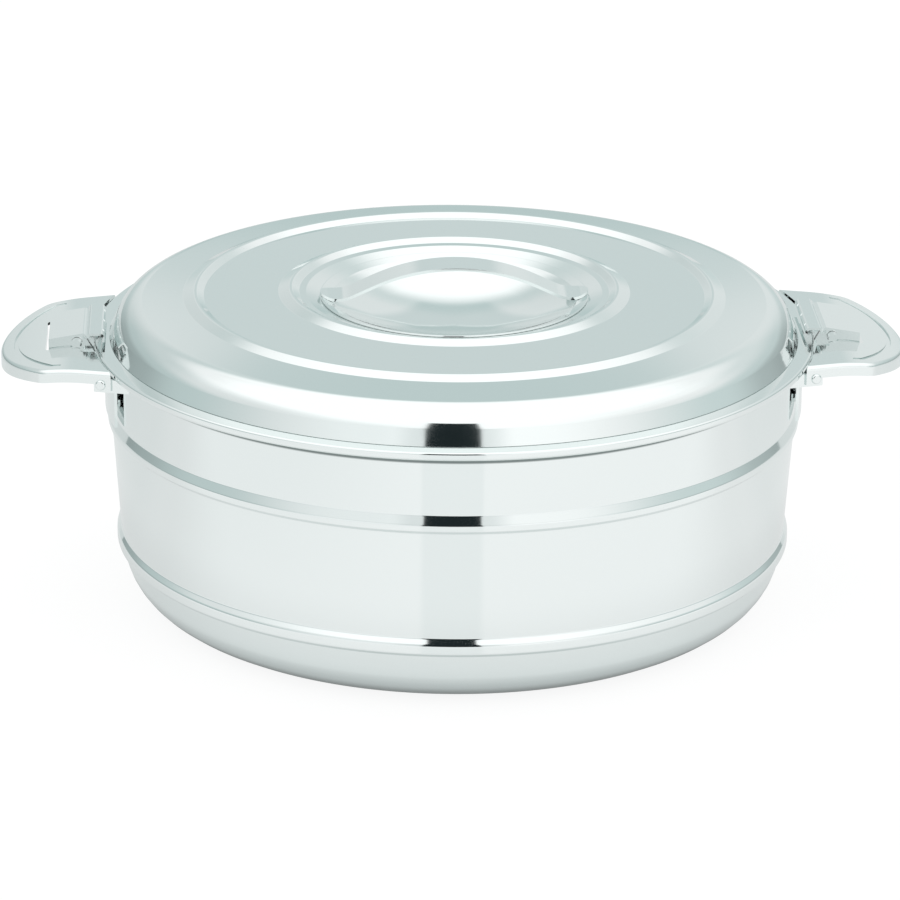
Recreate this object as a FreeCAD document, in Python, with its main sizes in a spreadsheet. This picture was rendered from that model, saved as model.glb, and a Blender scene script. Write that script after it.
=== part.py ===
"""Insulated chapati casserole: double-walled steel bowl, lift-off lid, two wing handles with sprung latches.

Millimetres, +Z up. The origin is the middle of the foot, on the surface that the casserole stands on.
+X points to the right handle, and each piece of the left handle is the mirror image of the right one.
"""
import FreeCAD, Part
import Sketcher
import math
import os
import re
from FreeCAD import Vector

doc = FreeCAD.newDocument("casserole")

# ---------------------------------------------------------------- driving dimensions
DIMENSIONS = [
    ("body_height", 110.5, "foot to the top of the bowl's flange"),
    ("flange_radius", 145.0, "outer radius of the rolled flange"),
    ("flange_hem", 2.75, "height of the rolled flange edge"),
    ("flange_roll", 1.2, "bend radius of the rolled flange edge"),
    ("hem_return", 3.6, "width of the lip that grips the outer shell"),
    ("hem_play", 0.8, "edge of the outer shell inside that lip"),
    ("flange_width", 6.8, "flange, from the outer wall to its edge"),
    ("wall_draft", 3.0, "the wall draws in by this much towards the foot"),
    ("base_draw", 7.0, "the wall below the lower bead draws in by this much"),
    ("base_margin", 3.8, "middle of the lower bead above the round of the base"),
    ("foot_width", 9.0, "width of the ring that touches the table"),
    ("base_recess", 2.0, "middle of the base above the table"),
    ("shell_sheet", 0.8, "steel of the outer shell"),
    ("low_bead_height", 27.6, "lower bead above the table"),
    ("high_bead_drop", 31.4, "flange top to the middle of the upper bead"),
    ("bead_rise", 1.6, "beads stand this far out of the wall"),
    ("bead_half_width", 3.65, "half the height of a bead"),
    ("bead_foot", 1.4, "height of a bead's lower flank"),
    ("low_bead_flank", 2.3, "height of the lower bead's upper flank"),
    ("high_bead_flank", 3.6, "height of the upper bead's upper flank"),
    ("bead_bend", 2.2, "bend radius over the crown of a bead"),
    ("sheet_bend", 1.0, "small bends of the pressed steel"),
    ("bowl_sheet", 0.8, "steel of the inner bowl"),
    ("wall_thickness", 16.2, "outer wall to the inside of the bowl"),
    ("bowl_floor_height", 15.0, "inside floor above the table"),
    ("bowl_corner", 26.0, "round of the bowl into its floor"),
    ("foam_gap", 0.4, "foam to the steel around it"),
    ("lid_inset", 5.7, "lid's rolled edge inside the flange's edge"),
    ("lid_clearance", 0.3, "lid edge above the flange"),
    ("lid_fold", 2.6, "width of the lid's edge, folded in under its skirt"),
    ("lid_sheet", 0.7, "steel of the lid's outer shell"),
    ("skirt_run", 6.1, "lean of the lid's skirt, shoulder to edge"),
    ("lid_shoulder_rise", 12.8, "that shoulder above the flange"),
    ("lid_shoulder_bend", 13.0, "bend radius of the shoulder"),
    ("outer_ring_inset", 28.7, "embossed ring to the lid's shoulder"),
    ("outer_ring_rise", 17.6, "its crest above the flange"),
    ("inner_ring_margin", 16.2, "embossed ring round the dish"),
    ("inner_ring_rise", 18.8, "its crest above the flange"),
    ("ring_outer_run", 5.0, "crest of an embossed ring to its outer foot"),
    ("ring_inner_run", 3.4, "crest of an embossed ring to its inner foot"),
    ("ring_height", 1.9, "embossed rings stand this far out of the lid"),
    ("ring_bend", 2.0, "bend radius over their crests"),
    ("shelf_drop", 3.25, "the lid falls this much from the inner ring to the dish"),
    ("pan_sheet", 0.6, "steel of the lid's inner pan"),
    ("pan_corner", 5.0, "round of the pan into its floor"),
    ("plug_clearance", 2.0, "lid's pan to the bowl wall"),
    ("plug_depth", 6.5, "pan below the flange top"),
    ("gasket_height", 2.9, "seal between the pan and the flange"),
    ("gasket_width", 6.7, "seal, across"),
    ("pan_inset", 1.8, "edge of the pan inside the lid's edge"),
    ("channel_inset", 7.8, "outer wall of the seal's channel to the lid's edge"),
    ("channel_gap", 0.3, "seal to the channel's outer wall"),
    ("cup_radius", 49.5, "dish under the grip"),
    ("cup_depth", 11.5, "dish, from its rim"),
    ("cup_seat", 0.05, "rim of the dish above the lid"),
    ("cup_flange", 4.3, "rim of the dish on the lid"),
    ("cup_clearance", 0.4, "dish to the hole in the lid"),
    ("grip_width", 15.0, "strap across the dish"),
    ("grip_sheet", 1.2, "steel of the strap"),
    ("grip_overhang", 4.5, "edge of the dish to the end of the strap"),
    ("grip_tab", 8.0, "flat end of the strap"),
    ("grip_rise", 13.4, "strap's crest above its flat ends"),
    ("grip_slope", 25.0, "degrees, side of the strap's arch"),
    ("grip_bend", 14.0, "bend between a flat end and the arch"),
    ("wing_length", 37.2, "flange to the tip of a handle"),
    ("wing_sink", 0.1, "handle plate below the flange top"),
    ("wing_gap", 1.0, "handle plate to the flange"),
    ("wing_root_half", 49.8, "half width of a handle at its root"),
    ("wing_root_inset", 7.5, "where that is measured, inside the flange's edge"),
    ("wing_taper", 14.5, "degrees, front and back edges"),
    ("wing_tip_round", 60.0, "radius of a handle's end"),
    ("wing_corner", 9.0, "round between the end and the sides"),
    ("wing_sheet", 1.2, "steel of a handle plate"),
    ("wing_lip", 5.0, "turned-down edge of a handle plate"),
    ("wing_edge_round", 1.8, "bend into the turned-down edge"),
    ("wing_flat", 3.0, "flange to where the plate starts to droop"),
    ("wing_drop_bend", 98.0, "bend radius of the droop"),
    ("wing_drop_angle", 20.0, "degrees, droop at the tip"),
    ("groove_inset", 5.2, "pressed groove to the handle's edge"),
    ("groove_width", 1.8, "pressed groove, across"),
    ("groove_depth", 0.5, "pressed groove"),
    ("groove_offset", 12.0, "flange to where the groove starts"),
    ("notch_half_width", 23.5, "notch for the latch, half width"),
    ("notch_depth", 5.0, "flange to the end of the latch's notch"),
    ("window_reach", 18.9, "flange to the outer edge of the thumb window"),
    ("window_margin", 1.3, "thumb window beside the pad"),
    ("window_collar", 3.6, "turned-down outer edge of the thumb window"),
    ("window_land", 3.0, "plate between notch and window"),
    ("opening_corner", 1.4, "corner round of notch and window"),
    ("pin_offset", 6.3, "flange to a latch's hinge pin"),
    ("pin_rise", 1.5, "hinge pin above the flange top"),
    ("pin_radius", 1.1, "hinge pin"),
    ("pin_head_radius", 1.6, "head of the hinge pin"),
    ("pin_head", 0.5, "thickness of that head"),
    ("pin_play", 0.05, "pin in its holes, radial"),
    ("ear_sheet", 1.2, "ears that carry the pin"),
    ("ear_gap", 0.35, "lever to the ears"),
    ("ear_round", 2.1, "round of ear and lever about the pin"),
    ("lever_sheet", 1.0, "steel of a latch lever"),
    ("lever_play", 0.2, "lever to the plate beside it"),
    ("pad_half_width", 16.4, "thumb pad, half width"),
    ("pad_reach", 11.2, "hinge pin to the outer end of the pad"),
    ("pad_overhang", 2.7, "hinge pin to the inner end of the pad"),
    ("pad_rise", 3.7, "pad there, above the hinge pin"),
    ("pad_end_rise", 1.4, "pad at its outer end, above the hinge pin"),
    ("pad_skirt", 4.9, "turned-down sides of the pad"),
    ("crease_depth", 0.7, "crease between pad and clamp plate"),
    ("clamp_half_width", 18.5, "clamp plate, half width"),
    ("clamp_rise", 5.8, "clamp plate above the flange top"),
    ("clamp_nose_gap", 0.9, "clamp nose to the lid's edge, in plan"),
    ("clamp_nose_bend", 2.0, "bend over the nose"),
    ("clamp_nose_drop", 3.7, "height of the nose"),
    ("dart_pitch", 12.4, "stiffening darts on the nose"),
    ("dart_radius", 1.5, "stiffening darts"),
    ("dart_depth", 0.4, "stiffening darts"),
    ("spring_wire", 0.6, "wire of a latch spring"),
    ("spring_coil", 1.6, "coil of a latch spring, mean radius"),
    ("spring_pitch", 0.8, "spring coil, turn to turn"),
    ("spring_turns", 6.0, "whole turns of a latch spring"),
    ("spring_pad_leg", 7.0, "spring leg under the thumb pad"),
    ("spring_rest_angle", 30.0, "degrees, lower spring leg from upright"),
    ("spring_play", 0.3, "spring leg to the bracket it rests on"),
    ("bracket_gap", 1.4, "bracket band to the wall"),
    ("bracket_sheet", 1.2, "steel of a bracket"),
    ("bracket_drop", 28.0, "flange top to a bracket's lower edge"),
    ("arm_drop", 7.5, "flange top to the top of a bracket's arm"),
    ("bracket_half_angle", 14.5, "degrees, band on the wall"),
    ("arm_reach", 8.4, "flange to the outer edge of the arm"),
    ("arm_tongue", 28.0, "arm under the latch, half width"),
    ("weld_boss_radius", 3.0, "pressed welding bosses of a bracket"),
    ("weld_boss_y", 20.0, "bosses to the middle of the bracket"),
    ("weld_gap", 0.05, "bosses to the wall"),
    ("rivet_radius", 1.5, "rivets of handle and bracket"),
    ("rivet_head_radius", 2.1, "their heads"),
    ("rivet_head", 1.1, "height of a head"),
    ("rivet_margin", 4.4, "rivets outside the flange's edge"),
    ("rivet_drop", 5.3, "flange top to the rivets"),
    ("rivet_ear_drop", 2.8, "rivet ears below the rivets"),
    ("rivet_ear_margin", 2.7, "rivet ears beyond the middle of a rivet"),
]
sheet = doc.addObject("Spreadsheet::Sheet", "dimensions")
for line, (alias, value, note) in enumerate(DIMENSIONS, start=1):
    sheet.set("A%d" % line, alias)
    sheet.set("B%d" % line, str(value))
    sheet.set("C%d" % line, note)
    sheet.setAlias("B%d" % line, alias)
doc.recompute()
SIZE = {alias: float(sheet.get(alias)) for alias, _, _ in DIMENSIONS}

# ---------------------------------------------------------------- sizes that follow from the driving ones
FOLLOWING = [
    ("wall_top_radius", "flange_radius", -1, "flange_width"),
    ("wall_low_radius", "wall_top_radius", -1, "wall_draft"),
    ("base_corner", "low_bead_height", -1, "base_margin"),
    ("high_bead_height", "body_height", -1, "high_bead_drop"),
    ("bowl_radius", "wall_top_radius", -1, "wall_thickness"),
    ("lid_radius", "flange_radius", -1, "lid_inset"),
    ("lid_shoulder_radius", "lid_radius", -1, "skirt_run"),
    ("pan_edge", "lid_radius", -1, "pan_inset"),
    ("outer_ring_radius", "lid_shoulder_radius", -1, "outer_ring_inset"),
    ("inner_ring_radius", "cup_radius", 1, "inner_ring_margin"),
    ("inner_ring_crest", "body_height", 1, "inner_ring_rise"),
    ("inner_ring_foot", "inner_ring_crest", -1, "ring_height"),
    ("outer_ring_crest", "body_height", 1, "outer_ring_rise"),
    ("outer_ring_foot", "outer_ring_crest", -1, "ring_height"),
    ("shelf_radius", "inner_ring_radius", -1, "ring_inner_run"),
    ("shelf_edge_height", "inner_ring_foot", -1, "shelf_drop"),
    ("grip_half_length", "cup_radius", 1, "grip_overhang"),
    ("channel_radius", "lid_radius", -1, "channel_inset"),
    ("wing_reach", "flange_radius", 1, "wing_length"),
    ("wing_height", "body_height", -1, "wing_sink"),
    ("wing_root_at", "flange_radius", -1, "wing_root_inset"),
    ("wing_drop_start", "flange_radius", 1, "wing_flat"),
    ("groove_start", "flange_radius", 1, "groove_offset"),
    ("notch_end", "flange_radius", 1, "notch_depth"),
    ("window_end", "flange_radius", 1, "window_reach"),
    ("pin_at", "flange_radius", 1, "pin_offset"),
    ("pin_height", "body_height", 1, "pin_rise"),
    ("pad_end", "pin_at", 1, "pad_reach"),
    ("pad_start", "pin_at", -1, "pad_overhang"),
    ("pad_start_height", "pin_height", 1, "pad_rise"),
    ("pad_end_height", "pin_height", 1, "pad_end_rise"),
    ("clamp_height", "body_height", 1, "clamp_rise"),
    ("bracket_foot_height", "body_height", -1, "bracket_drop"),
    ("bracket_arm_height", "body_height", -1, "arm_drop"),
    ("bracket_arm_end", "flange_radius", 1, "arm_reach"),
    ("rivet_circle", "flange_radius", 1, "rivet_margin"),
    ("rivet_height", "body_height", -1, "rivet_drop"),
]
for line, (alias, start, way, step) in enumerate(FOLLOWING, start=len(DIMENSIONS) + 2):
    SIZE[alias] = SIZE[start] + way * SIZE[step]
    sheet.set("A%d" % line, alias)
    sheet.set("B%d" % line, "%.6f" % SIZE[alias])
    sheet.setAlias("B%d" % line, alias)
doc.recompute()


def bound(text):
    """A formula of dimension names, written for a property that is bound to the sheet."""
    return re.sub(r"[a-z]+(_[a-z]+)+", lambda found: "dimensions." + found.group(0), text)


# ---------------------------------------------------------------- helpers: pressed sheet
def unit(a, b):
    length = math.hypot(b[0] - a[0], b[1] - a[1])
    return ((b[0] - a[0]) / length, (b[1] - a[1]) / length)


def offset_path(path, distance):
    """Move a path of (u, v, bend) points to its left by a distance, its bends staying concentric."""
    moved = []
    for i, (u, v, bend) in enumerate(path):
        before = unit(path[i - 1][:2], (u, v)) if i > 0 else None
        after = unit((u, v), path[i + 1][:2]) if i < len(path) - 1 else None
        before = before or after
        after = after or before
        turn = before[0] * after[1] - before[1] * after[0]
        share = 1.0 + before[0] * after[0] + before[1] * after[1]
        du = (-before[1] - after[1]) / share * distance
        dv = (before[0] + after[0]) / share * distance
        side = 1.0 if turn > 0 else -1.0
        moved.append((u + du, v + dv, max(bend - side * distance, 0.0) if bend else 0.0))
    return moved


def path_edges(path):
    """Edges in the XZ plane: straight runs, with a tangent arc at each point that has a bend radius."""
    edges = []
    start = path[0][:2]
    for i in range(1, len(path)):
        u, v, bend = path[i]
        end = (u, v)
        rounded = bend > 1e-6 and i < len(path) - 1
        if rounded:
            before = unit(path[i - 1][:2], end)
            after = unit(end, path[i + 1][:2])
            cosine = before[0] * after[0] + before[1] * after[1]
            angle = math.acos(max(-1.0, min(1.0, cosine)))
            reach = bend * math.tan(angle / 2)
            depth = bend / math.cos(angle / 2) - bend
            inward = unit((0, 0), (after[0] - before[0], after[1] - before[1]))
            end = (u - before[0] * reach, v - before[1] * reach)
        if math.dist(start, end) > 1e-6:
            edges.append(Part.LineSegment(Vector(start[0], 0, start[1]), Vector(end[0], 0, end[1])).toShape())
        start = end
        if rounded:
            crest = Vector(u + inward[0] * depth, 0, v + inward[1] * depth)
            start = (u + after[0] * reach, v + after[1] * reach)
            edges.append(Part.Arc(Vector(end[0], 0, end[1]), crest, Vector(start[0], 0, start[1])).toShape())
    return edges


def sheet_section(path, thickness):
    """Section of a pressed sheet: the path is one face, and the other lies a thickness to its left."""
    other = offset_path(path, thickness)
    loop = path_edges(path) + path_edges(other[::-1])
    for near, far in ((path[-1], other[-1]), (path[0], other[0])):
        loop.append(Part.LineSegment(Vector(near[0], 0, near[1]), Vector(far[0], 0, far[1])).toShape())
    return Part.Face(Part.Wire(Part.__sortEdges__(loop)))


def spun(section):
    return section.revolve(Vector(0, 0, 0), Vector(0, 0, 1), 360)


def widened(section, half_width):
    moved = section.translated(Vector(0, -half_width, 0))
    return moved.extrude(Vector(0, 2 * half_width, 0))


def polygon_across(points, y_low, y_high):
    """A plate square to Y whose outline is a polygon of (x, z) points."""
    corners = [Vector(x, y_low, z) for x, z in points]
    face = Part.Face(Part.makePolygon(corners + corners[:1]))
    return face.extrude(Vector(0, y_high - y_low, 0))


def block(x_low, x_high, half_width, z_low, z_high, corner=0.0):
    solid = Part.makeBox(x_high - x_low, 2 * half_width, z_high - z_low, Vector(x_low, -half_width, z_low))
    if corner == 0.0:
        return solid
    upright = [edge for edge in solid.Edges if abs(edge.Vertexes[0].Z - edge.Vertexes[1].Z) > 1e-3]
    return solid.makeFillet(corner, upright)


def disc(radius, z_low, z_high, x=0.0):
    return Part.makeCylinder(radius, z_high - z_low, Vector(x, 0, z_low), Vector(0, 0, 1))


def across(radius, x, z, y_low, y_high):
    return Part.makeCylinder(radius, y_high - y_low, Vector(x, y_low, z), Vector(0, 1, 0))


def both_sides(solid):
    return [solid, solid.mirror(Vector(0, 0, 0), Vector(0, 1, 0))]


def feature(label, shape):
    item = doc.addObject("Part::Feature", label)
    item.Label = label
    clean = shape.removeSplitter()
    item.Shape = clean.Solids[0] if len(clean.Solids) == 1 else clean
    item.Placement = FreeCAD.Placement()
    return item


def mirrored(source):
    label = source.Label.replace("right", "left")
    item = doc.addObject("Part::Mirroring", label)
    item.Label = label
    item.Source = source
    item.Base = Vector(0, 0, 0)
    item.Normal = Vector(1, 0, 0)
    return item


def turned_body(label, corners):
    """A PartDesign body turned about Z from a polygon, each corner a pair of formulas for (r, z)."""
    body = doc.addObject("PartDesign::Body", label)
    body.Label = label
    plane = [item for item in body.Origin.OriginFeatures if item.Role == "XZ_Plane"][0]
    sketch = body.newObject("Sketcher::SketchObject", label + "_section")
    sketch.AttachmentSupport = (plane, [""])
    sketch.MapMode = "FlatFace"
    count = len(corners)
    ring = [2 * math.pi * i / count for i in range(count + 1)]
    start = [Vector(200 + 100 * math.cos(angle), 100 * math.sin(angle), 0) for angle in ring]
    for i in range(count):
        sketch.addGeometry(Part.LineSegment(start[i], start[i + 1]), False)
    for i in range(count):
        sketch.addConstraint(Sketcher.Constraint("Coincident", i, 2, (i + 1) % count, 1))
    for i, corner in enumerate(corners):
        for kind, formula in zip(("DistanceX", "DistanceY"), corner):
            number = sketch.addConstraint(Sketcher.Constraint(kind, -1, 1, i, 1, 1.0))
            sketch.setExpression("Constraints[%d]" % number, bound(formula))
    turned = body.newObject("PartDesign::Revolution", label + "_turned")
    turned.Profile = sketch
    turned.ReferenceAxis = (sketch, ["V_Axis"])
    turned.Angle = 360
    return body


# ---------------------------------------------------------------- bowl body
def bead(wall_radius, height, flank):
    """A pressed rib round the wall, from below to above. Its upper flank has a height of its own."""
    rise = wall_radius + SIZE["bead_rise"]
    half = SIZE["bead_half_width"]
    bend = SIZE["sheet_bend"]
    return [(wall_radius, height - half, bend), (rise, height - half + SIZE["bead_foot"], bend),
            (rise, height + half - flank, SIZE["bead_bend"]), (wall_radius, height + half, bend)]


def outer_shell():
    foot_inside = SIZE["wall_low_radius"] - SIZE["base_corner"] - SIZE["foot_width"]
    recess = SIZE["base_recess"]
    flange_under = SIZE["body_height"] - SIZE["bowl_sheet"] - SIZE["shell_sheet"]
    flange_edge = SIZE["flange_radius"] - SIZE["bowl_sheet"] - SIZE["hem_play"]
    path = [(0, recess, 0), (foot_inside - 2 * recess, recess, recess), (foot_inside, 0, recess)]
    path.append((SIZE["wall_low_radius"] - SIZE["base_draw"], 0, SIZE["base_corner"]))
    path += bead(SIZE["wall_low_radius"], SIZE["low_bead_height"], SIZE["low_bead_flank"])
    path += bead(SIZE["wall_top_radius"], SIZE["high_bead_height"], SIZE["high_bead_flank"])
    path += [(SIZE["wall_top_radius"], flange_under, SIZE["sheet_bend"]), (flange_edge, flange_under, 0)]
    return feature("outer_shell", spun(sheet_section(path, SIZE["shell_sheet"])))


def inner_bowl():
    top = SIZE["body_height"]
    edge = SIZE["flange_radius"]
    path = [(0, SIZE["bowl_floor_height"], 0),
            (SIZE["bowl_radius"], SIZE["bowl_floor_height"], SIZE["bowl_corner"]),
            (SIZE["bowl_radius"], top, 1.5 * SIZE["sheet_bend"]),
            (edge, top, SIZE["flange_roll"]),
            (edge, top - SIZE["flange_hem"], SIZE["flange_roll"]),
            (edge - SIZE["hem_return"], top - SIZE["flange_hem"], 0)]
    return feature("inner_bowl", spun(sheet_section(path, -SIZE["bowl_sheet"])))


def body_insulation():
    outside = "- shell_sheet - foam_gap"
    corner = "(base_corner - shell_sheet - foam_gap)"
    turn = "atan((low_bead_height - bead_half_width) / base_draw)"
    hub = "(wall_low_radius - base_draw - base_corner * tan(" + turn + " / 2))"
    bowl = "(bowl_corner + bowl_sheet + foam_gap)"
    bowl_hub = "(bowl_radius - bowl_corner)"
    bowl_level = "(bowl_floor_height + bowl_corner)"
    under_flange = "body_height - bowl_sheet - foam_gap"
    corners = [
        ("0 * foam_gap", "base_recess + shell_sheet + foam_gap"),
        (hub + " - foot_width", "base_recess + shell_sheet + foam_gap"),
        (hub, "base_corner - " + corner),
        (hub + " + sin(45 deg) * " + corner, "base_corner - cos(45 deg) * " + corner),
        ("wall_low_radius " + outside + " - foam_gap", "base_corner * 1.0"),
        ("wall_low_radius " + outside, "low_bead_height + bead_half_width"),
        ("wall_top_radius " + outside + " - foam_gap", "high_bead_height - bead_half_width"),
        ("wall_top_radius " + outside, under_flange + " - shell_sheet"),
        ("wall_top_radius " + outside + " - sheet_bend", under_flange),
        ("bowl_radius + bowl_sheet + foam_gap", under_flange),
        ("bowl_radius + bowl_sheet + foam_gap", bowl_level + " - tan(22.5 deg) * " + bowl),
        (bowl_hub + " + tan(22.5 deg) * " + bowl, "bowl_floor_height - bowl_sheet - foam_gap"),
        ("0 * foam_gap", "bowl_floor_height - bowl_sheet - foam_gap"),
    ]
    return turned_body("body_insulation", corners)


# ---------------------------------------------------------------- lid
def shelf_height(radius):
    """Top of the lid between the inner ring and the dish, which falls inwards."""
    run = SIZE["shelf_radius"] - SIZE["cup_radius"]
    return SIZE["shelf_edge_height"] + SIZE["shelf_drop"] * (radius - SIZE["cup_radius"]) / run


def lying_on_shelf(radius, thickness):
    """Top of a sheet, or of a stack of sheets, that lies on the falling part of the lid."""
    lean = math.atan2(SIZE["shelf_drop"], SIZE["shelf_radius"] - SIZE["cup_radius"])
    return shelf_height(radius) + thickness / math.cos(lean)


def embossed_ring(radius, crest, foot):
    """A pressed ring in the lid, from the inside out: a steep inner flank and a longer outer one."""
    return [(radius - SIZE["ring_inner_run"], foot, SIZE["sheet_bend"]), (radius, crest, SIZE["ring_bend"]),
            (radius + SIZE["ring_outer_run"], foot, SIZE["sheet_bend"])]


def lid_outer_shell():
    flange = SIZE["body_height"]
    bend = SIZE["sheet_bend"]
    edge = flange + SIZE["lid_clearance"]
    hole = SIZE["cup_radius"] + SIZE["lid_sheet"] + SIZE["cup_clearance"]
    path = [(hole, shelf_height(hole), 0)]
    path += embossed_ring(SIZE["inner_ring_radius"], SIZE["inner_ring_crest"], SIZE["inner_ring_foot"])
    path += embossed_ring(SIZE["outer_ring_radius"], SIZE["outer_ring_crest"], SIZE["outer_ring_foot"])
    path += [(SIZE["lid_shoulder_radius"], flange + SIZE["lid_shoulder_rise"], SIZE["lid_shoulder_bend"]),
            (SIZE["lid_radius"], edge, 0.9 * bend),
            (SIZE["lid_radius"] - 0.9 * bend - SIZE["lid_fold"], edge, 0)]
    return feature("lid_outer_shell", spun(sheet_section(path, -SIZE["lid_sheet"])))


def lid_inner_shell():
    flange = SIZE["body_height"]
    floor = flange - SIZE["plug_depth"]
    plug = SIZE["bowl_radius"] - SIZE["plug_clearance"]
    roof = flange + SIZE["gasket_height"]
    seat = flange + SIZE["lid_clearance"] + SIZE["lid_sheet"]
    bend = SIZE["sheet_bend"]
    path = [(0, floor, 0),
            (plug, floor, SIZE["pan_corner"]),
            (plug, roof, bend),
            (SIZE["channel_radius"], roof, 0.8 * bend),
            (SIZE["channel_radius"], seat, 0.8 * bend),
            (SIZE["pan_edge"], seat, 0)]
    return feature("lid_inner_shell", spun(sheet_section(path, SIZE["pan_sheet"])))


def lid_insulation():
    floor = "body_height - plug_depth + pan_sheet + foam_gap"
    wall = "bowl_radius - plug_clearance - pan_sheet - foam_gap"
    roof = "body_height + gasket_height + pan_sheet + foam_gap"
    under = "- lid_sheet - 1.5 * foam_gap"
    dish_floor = "shelf_edge_height - cup_depth - 1.5 * foam_gap"
    dish_vertex = "cup_radius - cup_depth / tan(2 * atan(cup_depth / cup_radius))"
    dish_reach = "cup_radius - 0.35 * lid_sheet"
    corners = [
        ("0 * foam_gap", floor),
        (wall + " - pan_corner", floor),
        (wall, floor + " + pan_corner"),
        (wall, roof),
        ("lid_radius - skirt_run / 2 - 4 * lid_sheet", roof),
        ("lid_shoulder_radius - lid_shoulder_bend / 2", "body_height + lid_shoulder_rise " + under),
        ("outer_ring_radius + ring_outer_run", "outer_ring_foot " + under),
        ("outer_ring_radius - ring_inner_run", "outer_ring_foot " + under),
        ("inner_ring_radius + ring_outer_run", "inner_ring_foot " + under),
        ("shelf_radius * 1.0", "inner_ring_foot " + under),
        (dish_reach, "shelf_edge_height - lid_sheet - foam_gap"),
        (dish_vertex, dish_floor),
        ("0 * foam_gap", dish_floor),
    ]
    return turned_body("lid_insulation", corners)


def lid_gasket():
    outside = "channel_radius - channel_gap"
    inside = "channel_radius - channel_gap - gasket_width"
    top = "body_height + gasket_height"
    corners = [(inside, "body_height * 1.0"), (outside, "body_height * 1.0"),
               (outside, top + " - sheet_bend"), (outside + " - sheet_bend", top), (inside, top)]
    return turned_body("lid_gasket", corners)


def grip_cup():
    reach = SIZE["cup_radius"]
    edge = reach + SIZE["cup_flange"]
    rim = lying_on_shelf(reach, SIZE["lid_sheet"] + SIZE["cup_seat"])
    depth = SIZE["cup_depth"]
    slope = 2 * math.atan(depth / reach)
    dish_round = 0.96 * reach / math.sin(slope)
    path = [(0, rim - depth, 0),
            (reach - depth / math.tan(slope), rim - depth, dish_round),
            (reach, rim, 1.5 * SIZE["sheet_bend"]),
            (edge, lying_on_shelf(edge, SIZE["lid_sheet"] + SIZE["cup_seat"]), 0)]
    return feature("grip_cup", spun(sheet_section(path, -SIZE["lid_sheet"])))


def grip_strap():
    end = SIZE["grip_half_length"]
    foot = end - SIZE["grip_tab"]
    stack = SIZE["lid_sheet"] + 2 * SIZE["cup_seat"] + SIZE["grip_sheet"]
    half = SIZE["grip_width"] / 2
    end_top = lying_on_shelf(math.hypot(end, half), stack)
    tab_top = lying_on_shelf(math.hypot(foot, half), stack)
    slope = math.radians(SIZE["grip_slope"])
    peak = foot * math.tan(slope)
    arch = (peak - SIZE["grip_rise"]) / (1 / math.cos(slope) - 1)
    path = [(-end, end_top, 0), (-foot, tab_top, SIZE["grip_bend"]), (0, tab_top + peak, arch),
            (foot, tab_top, SIZE["grip_bend"]), (end, end_top, 0)]
    strip = widened(sheet_section(path, -SIZE["grip_sheet"]), half)
    low = SIZE["body_height"]
    high = tab_top + peak
    outline = block(half - end, end - half, half, low, high)
    outline = outline.fuse([disc(half, low, high, end - half), disc(half, low, high, half - end)])
    return feature("grip_strap", strip.common(outline))


# ---------------------------------------------------------------- right handle
def wing_side(x):
    """Half width of a handle plate at a distance from the axis."""
    return SIZE["wing_root_half"] - (x - SIZE["wing_root_at"]) * math.tan(math.radians(SIZE["wing_taper"]))


def wing_plan(inset, root_radius, z_low, z_high):
    """Block with the outline of a handle plate, drawn in from its front, back and tip by an inset."""
    near = SIZE["bowl_radius"]
    far = 1.2 * SIZE["wing_reach"]
    slant = inset / math.cos(math.radians(SIZE["wing_taper"]))
    corners = [Vector(x, side * (wing_side(x) - slant), z_low)
               for x, side in ((near, -1), (far, -1), (far, 1), (near, 1))]
    body = Part.Face(Part.makePolygon(corners + corners[:1])).extrude(Vector(0, 0, z_high - z_low))
    tip = disc(SIZE["wing_tip_round"] - inset, z_low, z_high, SIZE["wing_reach"] - SIZE["wing_tip_round"])
    root = Part.makeBox(SIZE["wing_reach"] - SIZE["wing_tip_round"], 4 * SIZE["wing_root_half"],
                        z_high - z_low, Vector(0, -2 * SIZE["wing_root_half"], z_low))
    body = body.common(tip.fuse(root))
    middle = SIZE["wing_reach"] - SIZE["wing_tip_round"] / 2
    upright = [edge for edge in body.Edges if abs(edge.Vertexes[0].Z - edge.Vertexes[-1].Z) > 1e-3
               and edge.Vertexes[0].X > near + 1.0 and abs(edge.Vertexes[0].Y) > 1.0]
    corner = max(SIZE["wing_corner"] - inset, 1.0)
    body = body.makeFillet(corner, [edge for edge in upright if edge.Vertexes[0].X < middle + far])
    return body.cut(disc(root_radius, z_low - 1, z_high + 1))


def drooping_slab(drop, depth):
    """Slab whose top follows a handle plate, a drop below it, and which is a depth thick."""
    top = SIZE["wing_height"] - drop
    angle = math.radians(SIZE["wing_drop_angle"])
    knee = SIZE["wing_drop_start"] + SIZE["wing_drop_bend"] * math.tan(angle / 2)
    far = 1.1 * SIZE["wing_reach"]
    path = [(SIZE["bowl_radius"], top, 0), (knee, top, SIZE["wing_drop_bend"]),
            (far, top - (far - knee) * math.tan(angle), 0)]
    return widened(sheet_section(path, -depth), 2 * SIZE["wing_root_half"])


def wing_rim(inset, thickness, root, z_low, z_high):
    """Strips of sheet that follow the front and back edges of a handle plate, outside a root radius."""
    outside = wing_plan(inset, root, z_low, z_high)
    return outside.cut(wing_plan(inset + thickness, SIZE["bowl_radius"], z_low - 1, z_high + 1))


def rivet_line(side):
    """Point where a handle's outer edge crosses the circle of the rivets, and the direction inwards."""
    taper = math.radians(SIZE["wing_taper"])
    lean = math.tan(taper)
    width = wing_side(0)
    steep = 1 + lean ** 2
    x = (width * lean + math.sqrt(steep * SIZE["rivet_circle"] ** 2 - width ** 2)) / steep
    point = Vector(x, side * wing_side(x), SIZE["rivet_height"])
    return point, Vector(-math.sin(taper), -side * math.cos(taper), 0)


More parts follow.
